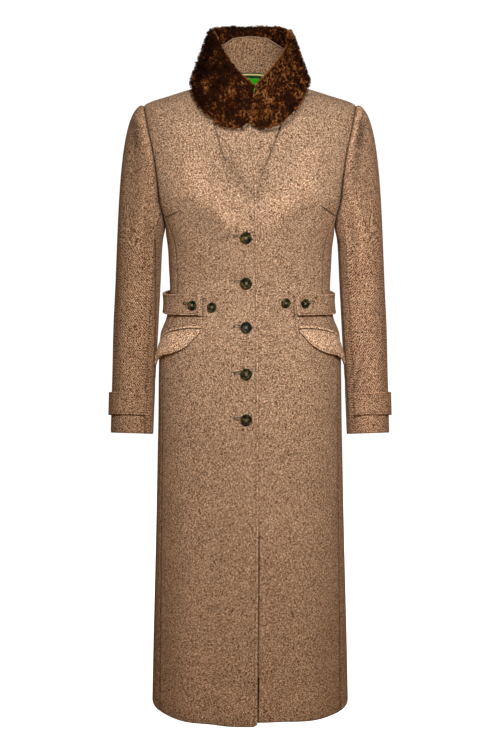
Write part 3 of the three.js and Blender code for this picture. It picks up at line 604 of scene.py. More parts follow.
def back_panel(side, name):
    levels, outer_angle = panel_rows(back_seam, -1)
    shares = edge_grid(40)
    angles = side * (180 + (outer_angle[:, None] - 180) * shares)
    rows = np.repeat(levels[:, None], len(shares), 1)
    points = body_point(angles, rows)
    from_middle = arcs(points, 1)
    soft = sum(crease(points, (way * ax, az), (way * bx, bz), wide, deep)
               for ax, az, bx, bz, wide, deep in BACK_CREASES for way in (-1, 1))
    mark = seam_roll(from_middle) + seam_roll(from_middle[:, -1:] - from_middle)
    mark = mark + seam_roll(rows - HEM, 0.8, 1.6)
    outer, inner = panel_layers(points, soft, mark, -side, doubled=hem_turn(rows - HEM))
    declare_cloth(cloth_wall(f"back_{name}_cloth", outer, inner, loden, marks=mark))


for side, name in SIDES:
    back_panel(side, name)


# The side panels fill in under the arms, so the coat's side seams lie forward and back of the side.
# Each is one narrow length of cloth from the foot of the armhole to the hem, taken in at the waist.
WAIST_HOLLOW, WAIST_LEVEL = -1.5, -400


def side_panel(side, name):
    turns = JOIN + edge_grid(26) * 6 * COLUMN
    top = armhole_level(turns)
    first, last = armhole_angle(JOIN), armhole_angle(360 - JOIN)
    share = (armhole_angle(turns) - first) / (last - first)
    steps = np.concatenate([[0, 0.0008, 0.002, 0.004, 0.008], np.linspace(0.016, 1, 120)])[:, None]
    level = HEM + (JOIN_LEVEL - HEM) * steps
    angles = side * (front_seam(level) + (back_seam(level) - front_seam(level)) * share)
    rows = HEM + (top - HEM) * steps
    points = body_point(angles, rows)
    run, rise = arcs(points, 1), arcs(points, 0)
    soft = WAIST_HOLLOW * np.exp(-((rows - WAIST_LEVEL) / 26) ** 2) * np.sin(np.pi * share) ** 2
    mark = seam_roll(run) + seam_roll(run[:, -1:] - run) + seam_roll(rows - HEM, 0.8, 1.6)
    mark = mark + seam_roll(rise[-1:] - rise)
    outer, inner = panel_layers(points, soft, mark, side, doubled=hem_turn(rows - HEM))
    declare_cloth(cloth_wall(f"side_{name}_cloth", outer, inner, loden, marks=mark))


for side, name in SIDES:
    side_panel(side, name)


# The sleeves are cut in two pieces, eased into the armhole with a slightly roped head, and bend
# forward below the elbow. The cap is a set of curves from the armhole to the arm's first ring.
ARM = [  # height, centre x, centre y, half width across, half depth fore and aft; from the cuff up
    (-685, 233, -50, 42, 46.5), (-565, 229, -24, 43, 51), (-470, 225, -9, 44.5, 55),
    (-400, 221, -3, 44.5, 58), (-335, 217.5, -2, 44.5, 61),
]
arm_x, arm_y, arm_across, arm_deep = (through(ARM, k) for k in (1, 2, 3, 4))
ARM_TOP, ARM_END = -335, -685


def unit(v):
    return v / np.linalg.norm(v, axis=-1, keepdims=True)


def arm_frame(z):
    up, down = np.minimum(z + 4, ARM_TOP), np.maximum(z - 4, ARM_END)
    along = unit(np.stack([arm_x(down) - arm_x(up), arm_y(down) - arm_y(up), down - up], -1))
    across = unit(np.array([1.0, 0, 0]) - along * along[..., :1])
    return along, across, -np.cross(across, along)


def arm_point(at, z):
    at, z = np.broadcast_arrays(np.asarray(at, float), np.asarray(z, float))
    _, across, forward = arm_frame(z)
    turn = np.radians(at)
    return (np.stack([arm_x(z), arm_y(z), z], -1) + across * (arm_across(z) * np.cos(turn))[..., None]
            + forward * (arm_deep(z) * np.sin(turn))[..., None])


def cap_point(at, t):
    at, t = np.broadcast_arrays(np.asarray(at, float), np.asarray(t, float))
    s, c = np.sin(np.radians(at)), np.cos(np.radians(at))
    high = ((1 + c) / 2)[..., None]
    start = body_point(armhole_angle(at), armhole_level(at))
    end = arm_point(at, ARM_TOP)
    leave = np.array([0.98, 0, 0.19]) * high + np.array([0.5, 0, -0.85]) * (1 - high)
    leave[..., 1] -= 0.35 * s
    first = start + unit(leave) * (8 + 36 * high)
    along = arm_frame(np.array(float(ARM_TOP)))[0]
    second = end - along * 0.42 * np.linalg.norm(end - start, axis=-1, keepdims=True)
    t = t[..., None]
    q = 1 - t
    return start * q ** 3 + first * 3 * q * q * t + second * 3 * q * t * t + end * t ** 3


SLEEVE_FOLDS = [  # turn round the arm, distance down it, half width in degrees, half length, depth
    (112, 95, 7, 70, -3.4), (132, 110, 6, 80, 3.0), (92, 120, 8, 70, 2.4), (60, 90, 14, 70, -2.6),
    (-112, 100, 8, 80, -2.4), (-135, 120, 7, 80, 1.8), (150, 300, 30, 9, -2.6), (110, 345, 34, 12, -3.2),
    (128, 395, 30, 11, -2.4), (80, 300, 26, 14, 2.0), (-70, 330, 26, 30, 1.8), (30, 420, 14, 90, -1.6),
    (170, 470, 20, 60, 1.4), (75, 470, 20, 70, 2.0),
]


SLEEVE_SHADES = {           # painted shade on each sleeve's head: from (x, z) to (x, z), half width, depth
    -1: [((-223, -75), (-217, -122), 9, -0.8), ((-217, -122), (-212, -170), 8, -0.3)],
    1: [((213, -72), (208, -118), 11, -1.0), ((208, -118), (198, -195), 9, -0.6)],
}
FORE_SEAMS = {              # the pressed front seam of each sleeve, in the front view
    -1: ((-0.183, -0.3), (-0.191, -0.76), 0.85),
    1: ((0.173, -0.3), (0.2, -0.76), 0.85),
}
# Darker copies of the loden for the sleeves, painted shade; the right one, which the key light reaches less,
# darker still.
sleeve_loden = {
    -1: loden_finish("loden_right_sleeve", (0.75, 0.7, 0.64), [FORE_SEAMS[-1]]),
    1: loden_finish("loden_left_sleeve", (0.94, 0.88, 0.85), [FORE_SEAMS[1]]),
}


def sleeve_piece(side, name, cut, first, last):
    """One of a sleeve's two cuts, between two turns round the arm."""
    turns = (first + (last - first) * edge_grid(int(abs(last - first) / 6)))[None, :]
    cap = np.concatenate([[0, 0.006, 0.015, 0.03, 0.05], np.linspace(0.075, 1, 40)])[:, None]
    arm = np.concatenate([np.linspace(ARM_TOP, ARM_END + 10, 72)[1:], ARM_END + np.array([6, 3, 1.2, 0])])
    points = np.concatenate([cap_point(turns, cap), arm_point(turns, arm[:, None])])
    down, run = arcs(points, 0), arcs(points, 1)
    to_end = down[-1:] - down
    soft = sum(deep * np.exp(-(turned(at, turns) / wide) ** 2 - ((down - place) / long) ** 2)
               for at, place, wide, long, deep in SLEEVE_FOLDS)
    upward = np.cos(np.radians(turns))
    roped = 1.3 * np.clip(upward, 0, 1) * np.exp(-((down - 8) / 5) ** 2)
    mark = seam_roll(run, 0.7) + seam_roll(run[:, -1:] - run, 0.7) + seam_roll(down, 0.9, 2.0)
    mark = mark + roped + seam_roll(to_end, 0.8, 1.6)
    points = points * np.array([side, 1, 1])
    doubled = TURN_THICK * smooth(40, 38.5, to_end)
    outer, inner = panel_layers(points, soft, mark, side, doubled=doubled)
    dark = sum(crease(points, *line) for line in SLEEVE_SHADES[side])
    dark = dark - 0.8 * np.exp(-(down / 7) ** 2) * smooth(0.5, -0.4, upward)      # painted shade under the arm
    wall = cloth_wall(f"sleeve_{cut}_{name}_cloth", outer, inner, sleeve_loden[side],
                      marks=mark + soft * CREASE_SHADE + dark)
    declare_cloth(wall)


for side, name in SIDES:
    sleeve_piece(side, name, "top", -JOIN, JOIN)
    sleeve_piece(side, name, "under", JOIN, 360 - JOIN)


# The straps and flaps lie on the body or a sleeve, and are made from its points, moved out. Each is two
# layers of loden, stitched right sides together and turned, so its edges are rolled and full.
def body_normal(angle, level):
    across = body_point(angle + 0.2, level) - body_point(angle - 0.2, level)
    up = body_point(angle, level + 0.4) - body_point(angle, level - 0.4)
    return unit(np.cross(across, up))


def strap_piece(name, points, thick, out=1, stitched=STITCH_INSET, finish=loden, rim=-1.3):
    """A strap or flap of doubled cloth, with rolled edges and a pressed stitch line. Its rim is painted
    pale as a highlight where that number is above zero, and painted dark as a shadow where it is below.
    Gives its face too."""
    run, rise = arcs(points, 1), arcs(points, 0)
    inside = np.minimum.reduce([run, run[:, -1:] - run, rise, rise[-1:] - rise])
    rolled = thick / 2 * (1 - np.sqrt(1 - np.clip(1 - inside / 2.0, 0, 1) ** 2))
    n = normals(points) * out
    marks = seam_roll(inside - stitched, 0.6, 0.75) + 0.5 * np.exp(-((inside - 2.2) / 1.1) ** 2)
    face, back = points + n * (marks - rolled)[..., None], points - n * (thick - rolled)[..., None]
    return cloth_wall(name, face, back, finish, marks=marks + rim * np.exp(-(inside / 1.4) ** 2)), face


# The half belt runs across the back and comes forward as a buttoned tab on each front. It is two
# layers of loden turned right side out and stitched along its edges, and it stands off the waist.
LAY_GAP = 0.5
BELT_TOP, BELT_BOTTOM = -403, -444
BELT_RIGHT, BELT_LEFT = -34, 31     # where its ends lie, in degrees round the body


def belt_level(angle, across):
    return (BELT_BOTTOM + (BELT_TOP - BELT_BOTTOM) * across
            - 9 * smooth(30, 90, np.abs(turned(0, angle))))


def belt_proud(angle, across):
    def stand(side, top, low):
        away = turned(side, angle)
        reach = np.where(away * side > 0, 34, 26)
        return (low + (top - low) * across) * np.exp(-(away / reach) ** 2)
    ends = 4.0 * smooth(41, 33, np.abs(turned(0, angle)))
    return LAY_GAP + STRAP + 0.9 + ends + stand(-96, 9, 5) + stand(96, 4, 2)


def belt_point(angle, across):
    level = belt_level(angle, across)
    return body_point(angle, level) + body_normal(angle, level) * belt_proud(angle, across)[..., None]


across = edge_grid(22, (0.0, 0.008, 0.02, 0.04, 0.07))[:, None]
along = edge_grid(190, (0.0, 0.0004, 0.001, 0.002, 0.0035))[None, :]
belt_corner = 1.6 * (1 - np.sqrt(1 - np.abs(2 * across - 1) ** 4))
belt_start, belt_end = BELT_LEFT + 180 + belt_corner, 540 + BELT_RIGHT - belt_corner
belt_angle = belt_start + (belt_end - belt_start) * along - 180
belt_grid = belt_point(belt_angle, np.broadcast_to(across, belt_angle.shape))
# The belt's rim is painted pale all round, a painted highlight.
belt, belt_face = strap_piece("half_belt_cloth", belt_grid, STRAP, rim=0.6)
stitched = [(belt_face, 1)]         # the faces that get a line of topstitching all round, and their way out
declare_cloth(belt)


# The slanted pockets: a narrow welt set into the front, and over it a leaf-shaped flap of doubled
# cloth that hangs from the welt's seam and springs away from the hip.
FLAP = [  # share along the flap, angle round the body, top, bottom, how far the free edge stands off
    (0, 31.5, -471, -477, 0.6), (0.07, 34.5, -470.5, -488, 1), (0.22, 41.5, -471.5, -507, 2),
    (0.45, 52.5, -477, -520, 3.5), (0.7, 63.5, -485, -528, 6), (0.88, 70.5, -494, -538, 7.5),
    (1, 75, -503, -551, 8),
]
flap_angle, flap_top, flap_bottom, flap_proud = (through(FLAP, k) for k in (1, 2, 3, 4))
HINGE = STRAP + LAY_GAP + 0.2
WELT = 2.6
PLAIN = -9                  # in place of a distance from the edge, where there is no stitching
# A lighter copy of the loden for the flaps and welts: painted light, as they tilt up into the light.
lit_loden = loden_finish("loden_painted_light", (1.55, 1.6, 1.66))

for side, name in SIDES:
    along = edge_grid(64, (0.0, 0.003, 0.008, 0.016, 0.028))[None, :]
    down = edge_grid(26, (0.0, 0.01, 0.03, 0.06, 0.1))[::-1, None]
    angle = side * flap_angle(along)
    level = flap_top(along) + (flap_bottom(along) - flap_top(along)) * down
    angle, level, hang = np.broadcast_arrays(angle, level, np.sin(np.radians(90 * down)))
    spring = HINGE + flap_proud(np.broadcast_to(along, angle.shape)) * hang
    flap_grid = body_point(angle, level) + body_normal(angle, level) * spring[..., None]
    # The flap's rim is painted dark all round, a painted shadow.
    flap, face = strap_piece(f"pocket_flap_{name}_cloth", flap_grid, STRAP, side, finish=lit_loden)
    declare_cloth(flap)

    up = np.linspace(0, 1, 9)[:, None]
    level = np.broadcast_to(flap_top(along) + 1 + 6 * up, (9, along.shape[1]))
    angle = np.broadcast_to(side * flap_angle(along), level.shape)
    puffed = LAY_GAP + WELT + 0.8 * np.sin(np.pi * up)
    welt_grid = body_point(angle, level) + body_normal(angle, level) * puffed[..., None]
    welt, face = strap_piece(f"pocket_welt_{name}_cloth", welt_grid, WELT, side, PLAIN, lit_loden)
    declare_cloth(welt)


# The cuff straps start in the sleeve's front seam, pass round the outside and button at the back. They
# are cut from doubled loden like the belt, end in a blunt point, and are stitched all round.
CUFF_TOP, CUFF_BOTTOM = -607, -651
CUFF_FRONT, CUFF_BACK = 128, -104   # where the strap's ends lie, in degrees round the arm


def arm_normal(at, z):
    across = arm_point(at + 0.5, z) - arm_point(at - 0.5, z)
    up = arm_point(at, z + 0.5) - arm_point(at, z - 0.5)
    return -unit(np.cross(across, up))


for side, name in SIDES:
    across = edge_grid(22, (0.0, 0.008, 0.02, 0.04, 0.07))[:, None]
    along = edge_grid(110, (0.0, 0.001, 0.0025, 0.005, 0.009))[None, :]
    point = 7 * (1 - np.sqrt(1 - np.abs(2 * across - 1) ** 3))
    at = CUFF_BACK + point + (CUFF_FRONT - CUFF_BACK - point) * along
    z = np.broadcast_to(CUFF_BOTTOM + (CUFF_TOP - CUFF_BOTTOM) * across, at.shape)
    proud = LAY_GAP + STRAP + 0.4 + 1.2 * np.maximum(0, np.cos(np.radians(at)))
    strap_grid = (arm_point(at, z) + arm_normal(at, z) * proud[..., None]) * np.array([side, 1, 1])
    wear_and_painted_rim = np.where(across < 0.5, -2.2, 0.5)        # painted shadow under its lower edge, painted highlight along the upper one
    strap, face = strap_piece(f"cuff_strap_{name}_cloth", strap_grid, STRAP, -side,
                              finish=sleeve_loden[side], rim=wear_and_painted_rim)
    stitched.append((face, -side))
    declare_cloth(strap)


# The cloth stand of the collar rises from the neck seam inside the fur. It is the wearer's side of
# the collar, seen through the opening of the neck, and it carries the fur on its outside.
COLLAR = [  # station from the right front edge round to the left, roll x y z, edge x z, seam, stand's drop
    (0, 13, -98, -15, 6, -79, -1, 10), (1, -10, -92, 4, -16, -90, -16, 10),
    (2, -33, -80, 27, -44, -88, -34, 10), (3, -53, -58, 53, -71, -73, -54, 11),
    (4, -67, -30, 78, -97, -48, -74, 16), (5, -74, 8, 91, -110, -14, -96, 28),
    (6, -61, 44, 96, -93, -10, -122, 28), (7, -34, 63, 98, -54, -16, -151, 17),
    (8, 0, 69, 98, 0, -20, -180, 14), (9, 34, 63, 98, 54, -16, -209, 17),
    (10, 62, 44, 96, 93, -10, -238, 28), (11, 77, 8, 87, 110, -14, -264, 32),
    (12, 74, -30, 66, 97, -41, -286, 16), (13, 62, -58, 42, 80, -63, -306, 11),
    (14, 48, -78, 20, 57, -83, -326, 10), (15, 34, -92, 0, 29, -90, -343, 10),
    (16, 20, -98, -17, 11, -80, -354, 10),
]
FUR_HALF = 8                # half the fur's thickness, with its pile
roll_x, roll_y, roll_z, edge_x, edge_z, neck_seam, stand_drop = (through(COLLAR, k) for k in range(1, 8))


def roll_point(at):
    return np.stack([roll_x(at), roll_y(at), roll_z(at)], -1)


def stand_point(at, up):
    at, up = np.broadcast_arrays(np.asarray(at, float), np.asarray(up, float))
    foot = body_point(neck_seam(at), NECK) + np.array([0, 0, 0.2])
    roll = roll_point(at)
    inward = unit(roll * np.array([1, 1, 0]))
    top = roll - inward * (FUR_HALF + 1.2)
    top[..., 2] -= stand_drop(at)
    return foot + (top - foot) * up[..., None]


up = edge_grid(26)[:, None]
at = 16 * edge_grid(150)[None, :]
stand_grid = stand_point(at, up)
# A darker copy of the loden: painted shade on the stand, deep inside the fur collar.
shaded_inside_loden = loden_finish("loden_inside", (0.74, 0.66, 0.57))
stand, stand_face = strap_piece("collar_stand_cloth", stand_grid, CLOTH, -1, PLAIN, shaded_inside_loden)
declare_cloth(stand)


# Inside the back of the neck, a woven tape covers the seam of the stand, and the bright green
# satin lining begins below it. Only what the open neck shows of the lining is here.
def satin_finish():
    finish, shader, start = new_finish("green_satin")
    thread = start.node("UVMap", {"uv_map": "Cloth"}).part(0).waves(0.0006)
    shade = start.node("TexCoord", out=3).noise(45.0, 3.0)
    plug(shader, start, Base_Color=(shade * 0.8 + thread * 0.2).dye(srgb(12, 172, 12), srgb(60, 246, 36)),
         Roughness=shade * 0.2 + 0.28, Normal=thread.bump(0.25, 0.0002))
    return finish


def tape_finish():
    """Dark green, with one pale band along the middle and a fine rib across."""
    finish, shader, start = new_finish("neck_tape_weave")
    cloth = start.node("UVMap", {"uv_map": "Cloth"})
    band = 1.0 - (cloth.part(1) - 0.0065).magnitude().between(0.0012, 0.0018)
    rib = cloth.part(0).waves(0.0012)
    dyed = band.dye(srgb(30, 62, 22), srgb(226, 212, 140))
    ribbed = start.node("Mix", {"data_type": "RGBA", "blend_type": "MULTIPLY"}, out=2,
                        i0=0.35, i6=dyed, i7=rib.dye((0.5, 0.5, 0.5), (1, 1, 1)))
    plug(shader, start, Base_Color=ribbed, Roughness=rib * 0.1 + 0.7, Normal=rib.bump(0.5, 0.0003))
    return finish


TAPE_LOW, TAPE_HIGH = -0.03, 0.1    # shares of the stand's height
at = np.linspace(4, 12, 120)[None, :]
up = np.linspace(TAPE_LOW, TAPE_HIGH, 9)[:, None]
tape_grid = stand_point(at, up)
tape_grid = tape_grid + normals(tape_grid) * (CLOTH + 0.5)
tape, tape_face = strap_piece("neck_tape_cloth", tape_grid, 1.2, -1, PLAIN, tape_finish())
declare_cloth(tape)

LINING_LOW, LINING_HIGH = -41, NECK - 1
NARROW, WIDE = 34, 62               # how far it reaches round from the centre back, below and above
level = np.linspace(LINING_LOW, LINING_HIGH, 24)[:, None]
reach = NARROW + (WIDE - NARROW) * (level - LINING_LOW) / (LINING_HIGH - LINING_LOW)
angle = 180 + reach * np.linspace(-1, 1, 90)[None, :]
level = np.broadcast_to(level, angle.shape)
ripple = 0.35 * np.sin(np.radians(angle * 14)) * smooth(LINING_HIGH, NECK - 14, level)
lining_grid = body_point(angle, level) - body_normal(angle, level) * (CLOTH + 1.1 + 0.4 + ripple)[..., None]
lining, lining_face = strap_piece("neck_lining_cloth", lining_grid, 0.8, 1, PLAIN, satin_finish())
declare_cloth(lining)


# The fur collar: one sheared, tightly curled dark-brown skin laid over the stand and down onto the
# shoulders. The skin is a soft thick sheet, and the pile is short curled locks that lean towards
# its free edge, dark at the root and tan at some of the tips.
def edge_point(at):
    behind = (smooth(4.6, 5.4, at) * smooth(11.4, 10.6, at))[..., None]
    x, z = edge_x(at), edge_z(at)

    def rest(back):
        angle, level = on_body(x, z, back)
        return body_point(angle, level) + body_normal(angle, level) * (FUR_HALF + 2)
    return rest(False) * (1 - behind) + rest(True) * behind


def fur_grid(stations, rows):
    roll, edge = roll_point(stations), edge_point(stations)
    out = (edge - roll) * np.array([1, 1, 0])
    first = roll + out * 0.25 + np.array([0, 0, -18])
    second = edge - out * 0.3 + np.array([0, 0, 26])
    t = rows[:, None, None]
    q = 1 - t
    return roll * q ** 3 + first * 3 * q * q * t + second * 3 * q * t * t + edge * t ** 3


def fur_half(stations, rows, full):
    """Half the fur's thickness, thinning to nothing round its free edges."""
    def rim(t):
        return np.sqrt(np.clip(1 - (1 - np.clip(t, 0, 1)) ** 2, 0, 1))
    across = rim(np.minimum(rows, 1 - rows) / 0.12)[:, None]
    end = rim(np.minimum(stations, 16 - stations) / 0.9)[None, :]
    return 0.6 + (full - 0.6) * np.minimum(across, end)


def skin_finish():
    finish, shader, start = new_finish("fur_skin")
    patch = start.node("TexCoord", out=3).noise(90.0, 3.0)
    plug(shader, start, Base_Color=patch.dye(srgb(20, 8, 3), srgb(56, 27, 9)), Roughness=patch * 0.1 + 0.85,
         Normal=patch.bump(0.8, 0.002))
    shader.inputs["Specular IOR Level"].default_value = 0.05
    return finish


def pile_finish():
    """The locks' colours. Each strand's mesh gives its warmth and, from 0 at the root to 1 at the tip, its
    height. Both are kept in thousandths."""
    finish, shader, start = new_finish("fur_pile")
    place = start.node("TexCoord", out=3)
    strand = start.node("UVMap", {"uv_map": "Cloth"})
    warmth, height = strand.part(0) * 1000.0, strand.part(1) * 1000.0
    patch, small = place.noise(34.0, 3.0, 0.55), place.noise(150.0)
    warm = (patch * 0.62 + small * 0.38 - 0.5) * 2.8 + 0.55 + (warmth - 0.5) * 0.26
    root = warm.dye(srgb(16, 6, 2), srgb(74, 34, 11))
    end = start.node("ValToRGB", {"stops": [
        (0.3, srgb(24, 10, 3)), (0.44, srgb(60, 29, 10)), (0.56, srgb(106, 57, 21)),
        (0.7, srgb(164, 97, 42)), (0.9, srgb(216, 148, 84)),
    ]}, Fac=warm)
    colour = start.node("Mix", {"data_type": "RGBA"}, out=2, i0=height ** 1.3, i6=root, i7=end)
    plug(shader, start, Base_Color=colour, Roughness=small * 0.2 + 0.65)
    shader.inputs["Specular IOR Level"].default_value = 0.08
    return finish


SKIN_HALF = 4.4             # half the skin's own thickness
TURNED = -0.1               # the skin is turned over the roll, a share of its depth past it
skin_stations = 16 * np.linspace(0, 1, 161)
edge_shares = np.array([0, 0.006, 0.02, 0.045, 0.08])
shares = np.concatenate([edge_shares, np.linspace(0.12, 0.88, 24), 1 - edge_shares[::-1]])
skin_rows = TURNED + (0.994 - TURNED) * shares
skin_grid = fur_grid(skin_stations, skin_rows)
meet = 5.8 * smooth(3.2, 0.4, skin_stations) + 10.3 * smooth(3.2, 0.4, 16 - skin_stations)
skin_grid = skin_grid - np.array([1, 0, 0]) * meet[:, None]     # the two ends meet right of the middle
thickness = fur_half(skin_stations, shares, SKIN_HALF)[..., None]
skin_face = skin_grid + normals(skin_grid) * thickness
skin_back = skin_grid - normals(skin_grid) * thickness
skin = cloth_wall("fur_collar_skin", skin_face, skin_back, skin_finish(), sharp=180)
fasten(skin, "fur_collar")

LOCKS = 2400                # in each third of the collar
IN_LOCK = 12                # strands in a lock
LOCK_RADIUS = 1.9
PILE_HIGH = 4.2
STRAND_WIDE = 0.46
LEAN, LEAN_VARIES = 2.6, 1.3        # how far a lock's tips lie towards the free edge
CURL_VARIES, STRAY = 1.9, 0.45      # how far the locks fall to either side, and single strands go astray
STRAND_STEPS = np.array([0, 0.36, 0.72, 1])[:, None, None]
rng = np.random.default_rng(7)


def lock_roots(points, outward, count, keep, tips_and_painted_light):
    """Random places on a layer of the skin, even by area, the ways out, down and along, and the warmth."""
    along, down = points[:-1, 1:] - points[:-1, :-1], points[1:, :-1] - points[:-1, :-1]
    area = np.linalg.norm(np.cross(along, down), axis=-1) * keep[:-1, None]
    row, column = np.divmod(rng.choice(area.size, count, p=(area / area.sum()).ravel()), area.shape[1])
    s, t = rng.random((2, count, 1))
    place = points[row, column] + along[row, column] * s + down[row, column] * t
    warm = tips_and_painted_light[row, column][:, None]
    return place, unit(outward[row, column]), unit(down[row, column]), unit(along[row, column]), warm


def grow_pile(name, layers, finish):
    """Locks of short curled strands, each a ribbon of three lengths that narrows to its tip."""
    whole = [np.concatenate(field) for field in zip(*layers)]
    lean, curl, tone = (np.repeat(rng.normal(size=(len(whole[0]), 1)), IN_LOCK, 0) for _ in range(3))
    place, out, down, along, warm = (np.repeat(field, IN_LOCK, 0) for field in whole)
    count = len(place)
    turn, reach = rng.random((count, 1)) * 2 * math.pi, np.sqrt(rng.random((count, 1))) * LOCK_RADIUS
    offset = (along * np.cos(turn) + down * np.sin(turn)) * reach
    root = place + offset - out * 0.5
    sweep = down * (LEAN + LEAN_VARIES * lean) + along * (CURL_VARIES * curl)
    sweep = sweep + rng.normal(size=(count, 3)) * STRAY
    high = PILE_HIGH * (0.82 + 0.3 * rng.random((count, 1)) + 0.08 * tone)
    tip = place + offset * 0.5 + out * high + sweep
    knee = root + out * high * 0.85 + sweep * 0.1
    t = STRAND_STEPS
    spine = root * (1 - t) ** 2 + knee * 2 * t * (1 - t) + tip * t * t
    side = unit(np.cross(out, sweep)) * STRAND_WIDE / 2
    wide = np.array([1, 0.95, 0.7])[:, None, None]
    points = np.concatenate([spine[:3] - side * wide, spine[:3] + side * wide, spine[3:]]).transpose(1, 0, 2)
    shape = np.array([[0, 3, 4], [0, 4, 1], [1, 4, 5], [1, 5, 2], [2, 5, 6]])
    faces = (np.arange(count)[:, None, None] * 7 + shape).reshape(-1, 3)
    warmth = np.clip(0.5 + 0.2 * tone + 0.12 * rng.normal(size=(count, 1)) + warm, -0.2, 2.2)
    height = np.array([0, 0.36, 0.72, 0, 0.36, 0.72, 1])[None, :] * np.ones((count, 1))
    places = np.stack([np.broadcast_to(warmth, height.shape), height], -1).reshape(-1, 2)
    pile = mesh_object(name, points.reshape(-1, 3), faces, places, finish, sharp=180)
    fasten(pile)


pile_look = pile_finish()
face_out, back_out = normals(skin_face), -normals(skin_back)
everywhere = np.ones(len(skin_rows))
# The warmth of the tips: tan along the roll on the wearer's left and along the free edges, as the fur is,
# and raised further at the lower rim as painted light; the wearer's right side is painted darker than the
# left, painted shade for the key light that comes from the left.
plush = np.exp(-(shares / 0.26) ** 2)[:, None] * smooth(11.4, 13.2, skin_stations)
tips_and_painted_light = 1.5 * plush + (0.6 * np.exp(-shares / 0.04) + 1.2 * np.exp(-(1 - shares) / 0.07))[:, None]
tips_and_painted_light = tips_and_painted_light + 0.8 * np.exp(-((16 - skin_stations) / 0.3) ** 2) + 0.45 * smooth(5, 11, skin_stations) - 0.3
rim = np.stack([skin_face[0], skin_back[0]])
rim_out = np.broadcast_to(unit(skin_grid[0] - skin_grid[2]), rim.shape)
inside_roll = np.where(skin_rows < 0.4, 1.0, 0.25)     # the pile under the collar is pressed flat and thin
for third, first, last in (("right", 0, 54), ("back", 53, 108), ("left", 107, 161)):
    part = np.s_[:, first:last]
    grow_pile(f"fur_pile_{third}", [
        lock_roots(skin_face[part], face_out[part], int(LOCKS * 0.66), everywhere, tips_and_painted_light[part]),
        lock_roots(skin_back[part], back_out[part], int(LOCKS * 0.34), inside_roll, tips_and_painted_light[part]),
        lock_roots(rim[part], rim_out[part], int(LOCKS * 0.09), np.ones(2), tips_and_painted_light[part]),
    ], pile_look)


# The topstitching and the hand-sewn buttonholes. Each stitch is a short length of thread that dips
# into the cloth at both ends; the buttonholes are worked in dark green over the raw edges of a slit.
def thread_finish(name, dark, light):
    finish, shader, start = new_finish(name)
    cloth = start.node("UVMap", {"uv_map": "Cloth"})
    twist = (cloth.part(0) + cloth.part(1)).waves(0.0011)
    plug(shader, start, Base_Color=twist.dye(dark, light), Roughness=twist * 0.1 + 0.6,
         Normal=twist.bump(0.6, 0.0001))
    return finish


def threads(name, lines, ups, thick, finish, sides=5):
    """Lengths of thread from their middle lines, the way up from the cloth, and how thick each step is."""
    ahead = unit(np.gradient(lines, axis=1))
    side = unit(np.cross(ahead, np.broadcast_to(ups, lines.shape)))
    up = np.cross(side, ahead)
    turn = np.linspace(0, 2 * math.pi, sides, endpoint=False)[None, None, :, None]
    around = side[:, :, None] * np.cos(turn) + up[:, :, None] * np.sin(turn)
    points = lines[:, :, None] + around * (np.asarray(thick)[None, :, None, None] / 2)
    count, steps = lines.shape[:2]
    at = np.arange(steps * sides).reshape(steps, sides)
    follow = np.roll(at, -1, axis=1)
    ring = np.stack([at[:-1], follow[:-1], follow[1:], at[1:]], -1).reshape(-1, 4)
    faces = (np.arange(count)[:, None, None] * steps * sides + ring).reshape(-1, 4)
    run = arcs(lines, 1)[:, :, None] * np.ones(sides)
    round_it = np.broadcast_to(turn[..., 0] * np.mean(thick) / 2, run.shape)
    places = np.stack([run, round_it], -1).reshape(-1, 2)
    fasten(mesh_object(name, points.reshape(-1, 3), faces, places, finish, sharp=180))


STITCH, STITCH_STEP = 2.8, 3.6      # a stitch's length, and from one to the next
THREAD = 0.6                # its thickness
SUNK, RAISED = -0.35, 0.12  # its ends and its middle, from the cloth's face
STRAP_STITCHES = 5.0        # from a strap's edge


def stitch_lines(path, up):
    """Cuts a line on the cloth into stitches: four points each, the ends sunk into the cloth."""
    length = np.concatenate([[0], np.cumsum(np.linalg.norm(np.diff(path, axis=0), axis=-1))])
    starts = np.arange(0.5, length[-1] - STITCH, STITCH_STEP)[:, None]
    spots = starts + STITCH * np.array([0, 0.2, 0.8, 1])
    line = np.stack([np.interp(spots, length, path[:, k]) for k in range(3)], -1)
    lift = unit(np.stack([np.interp(spots, length, up[:, k]) for k in range(3)], -1))
    return line + lift * np.array([SUNK, RAISED, RAISED, SUNK])[None, :, None], lift


def seam_path(face, out, inset):
    """The line around a strap's face at a distance from its edges, and the way up from the cloth."""
    up = normals(face) * out
    run, rise = arcs(face, 1), arcs(face, 0)
    low = np.argmax(rise >= inset, axis=0)
    high = np.argmax(rise >= rise[-1] - inset, axis=0)
    first = np.argmax(run >= inset, axis=1)
    last = np.argmax(run >= run[:, -1:] - inset, axis=1)
    middle = len(face) // 2
    columns = np.arange(first[middle], last[middle] + 1)
    rows = np.arange(low[columns[-1]] + 1, high[columns[-1]])
    back_rows = np.arange(high[columns[0]] - 1, low[columns[0]], -1)
    row = np.concatenate([low[columns], rows, high[columns[::-1]], back_rows])
    column = np.concatenate([columns, last[rows], columns[::-1], first[back_rows]])
    return face[row, column], up[row, column]


def front_edge_path():
    """The line of topstitching inside the right front's edge, from the fur down to the hem's corner."""
    level = np.linspace(-78, HEM + 7, 420)
    angle = angle_at(over_edge(level) - STITCH_INSET, level)
    line, up = body_point(angle, level), body_normal(angle, level)
    return line + up * (LAP + front_soft(line[None])[0] - 0.35)[:, None], up


def welt_path(side):
    """The line of topstitching on the front, above a pocket's welt."""
    along = np.linspace(0.03, 0.97, 60)
    angle, level = side * flap_angle(along), flap_top(along) + 10.5
    line, up = body_point(angle, level), body_normal(angle, level)
    return line + up * 0.1, up


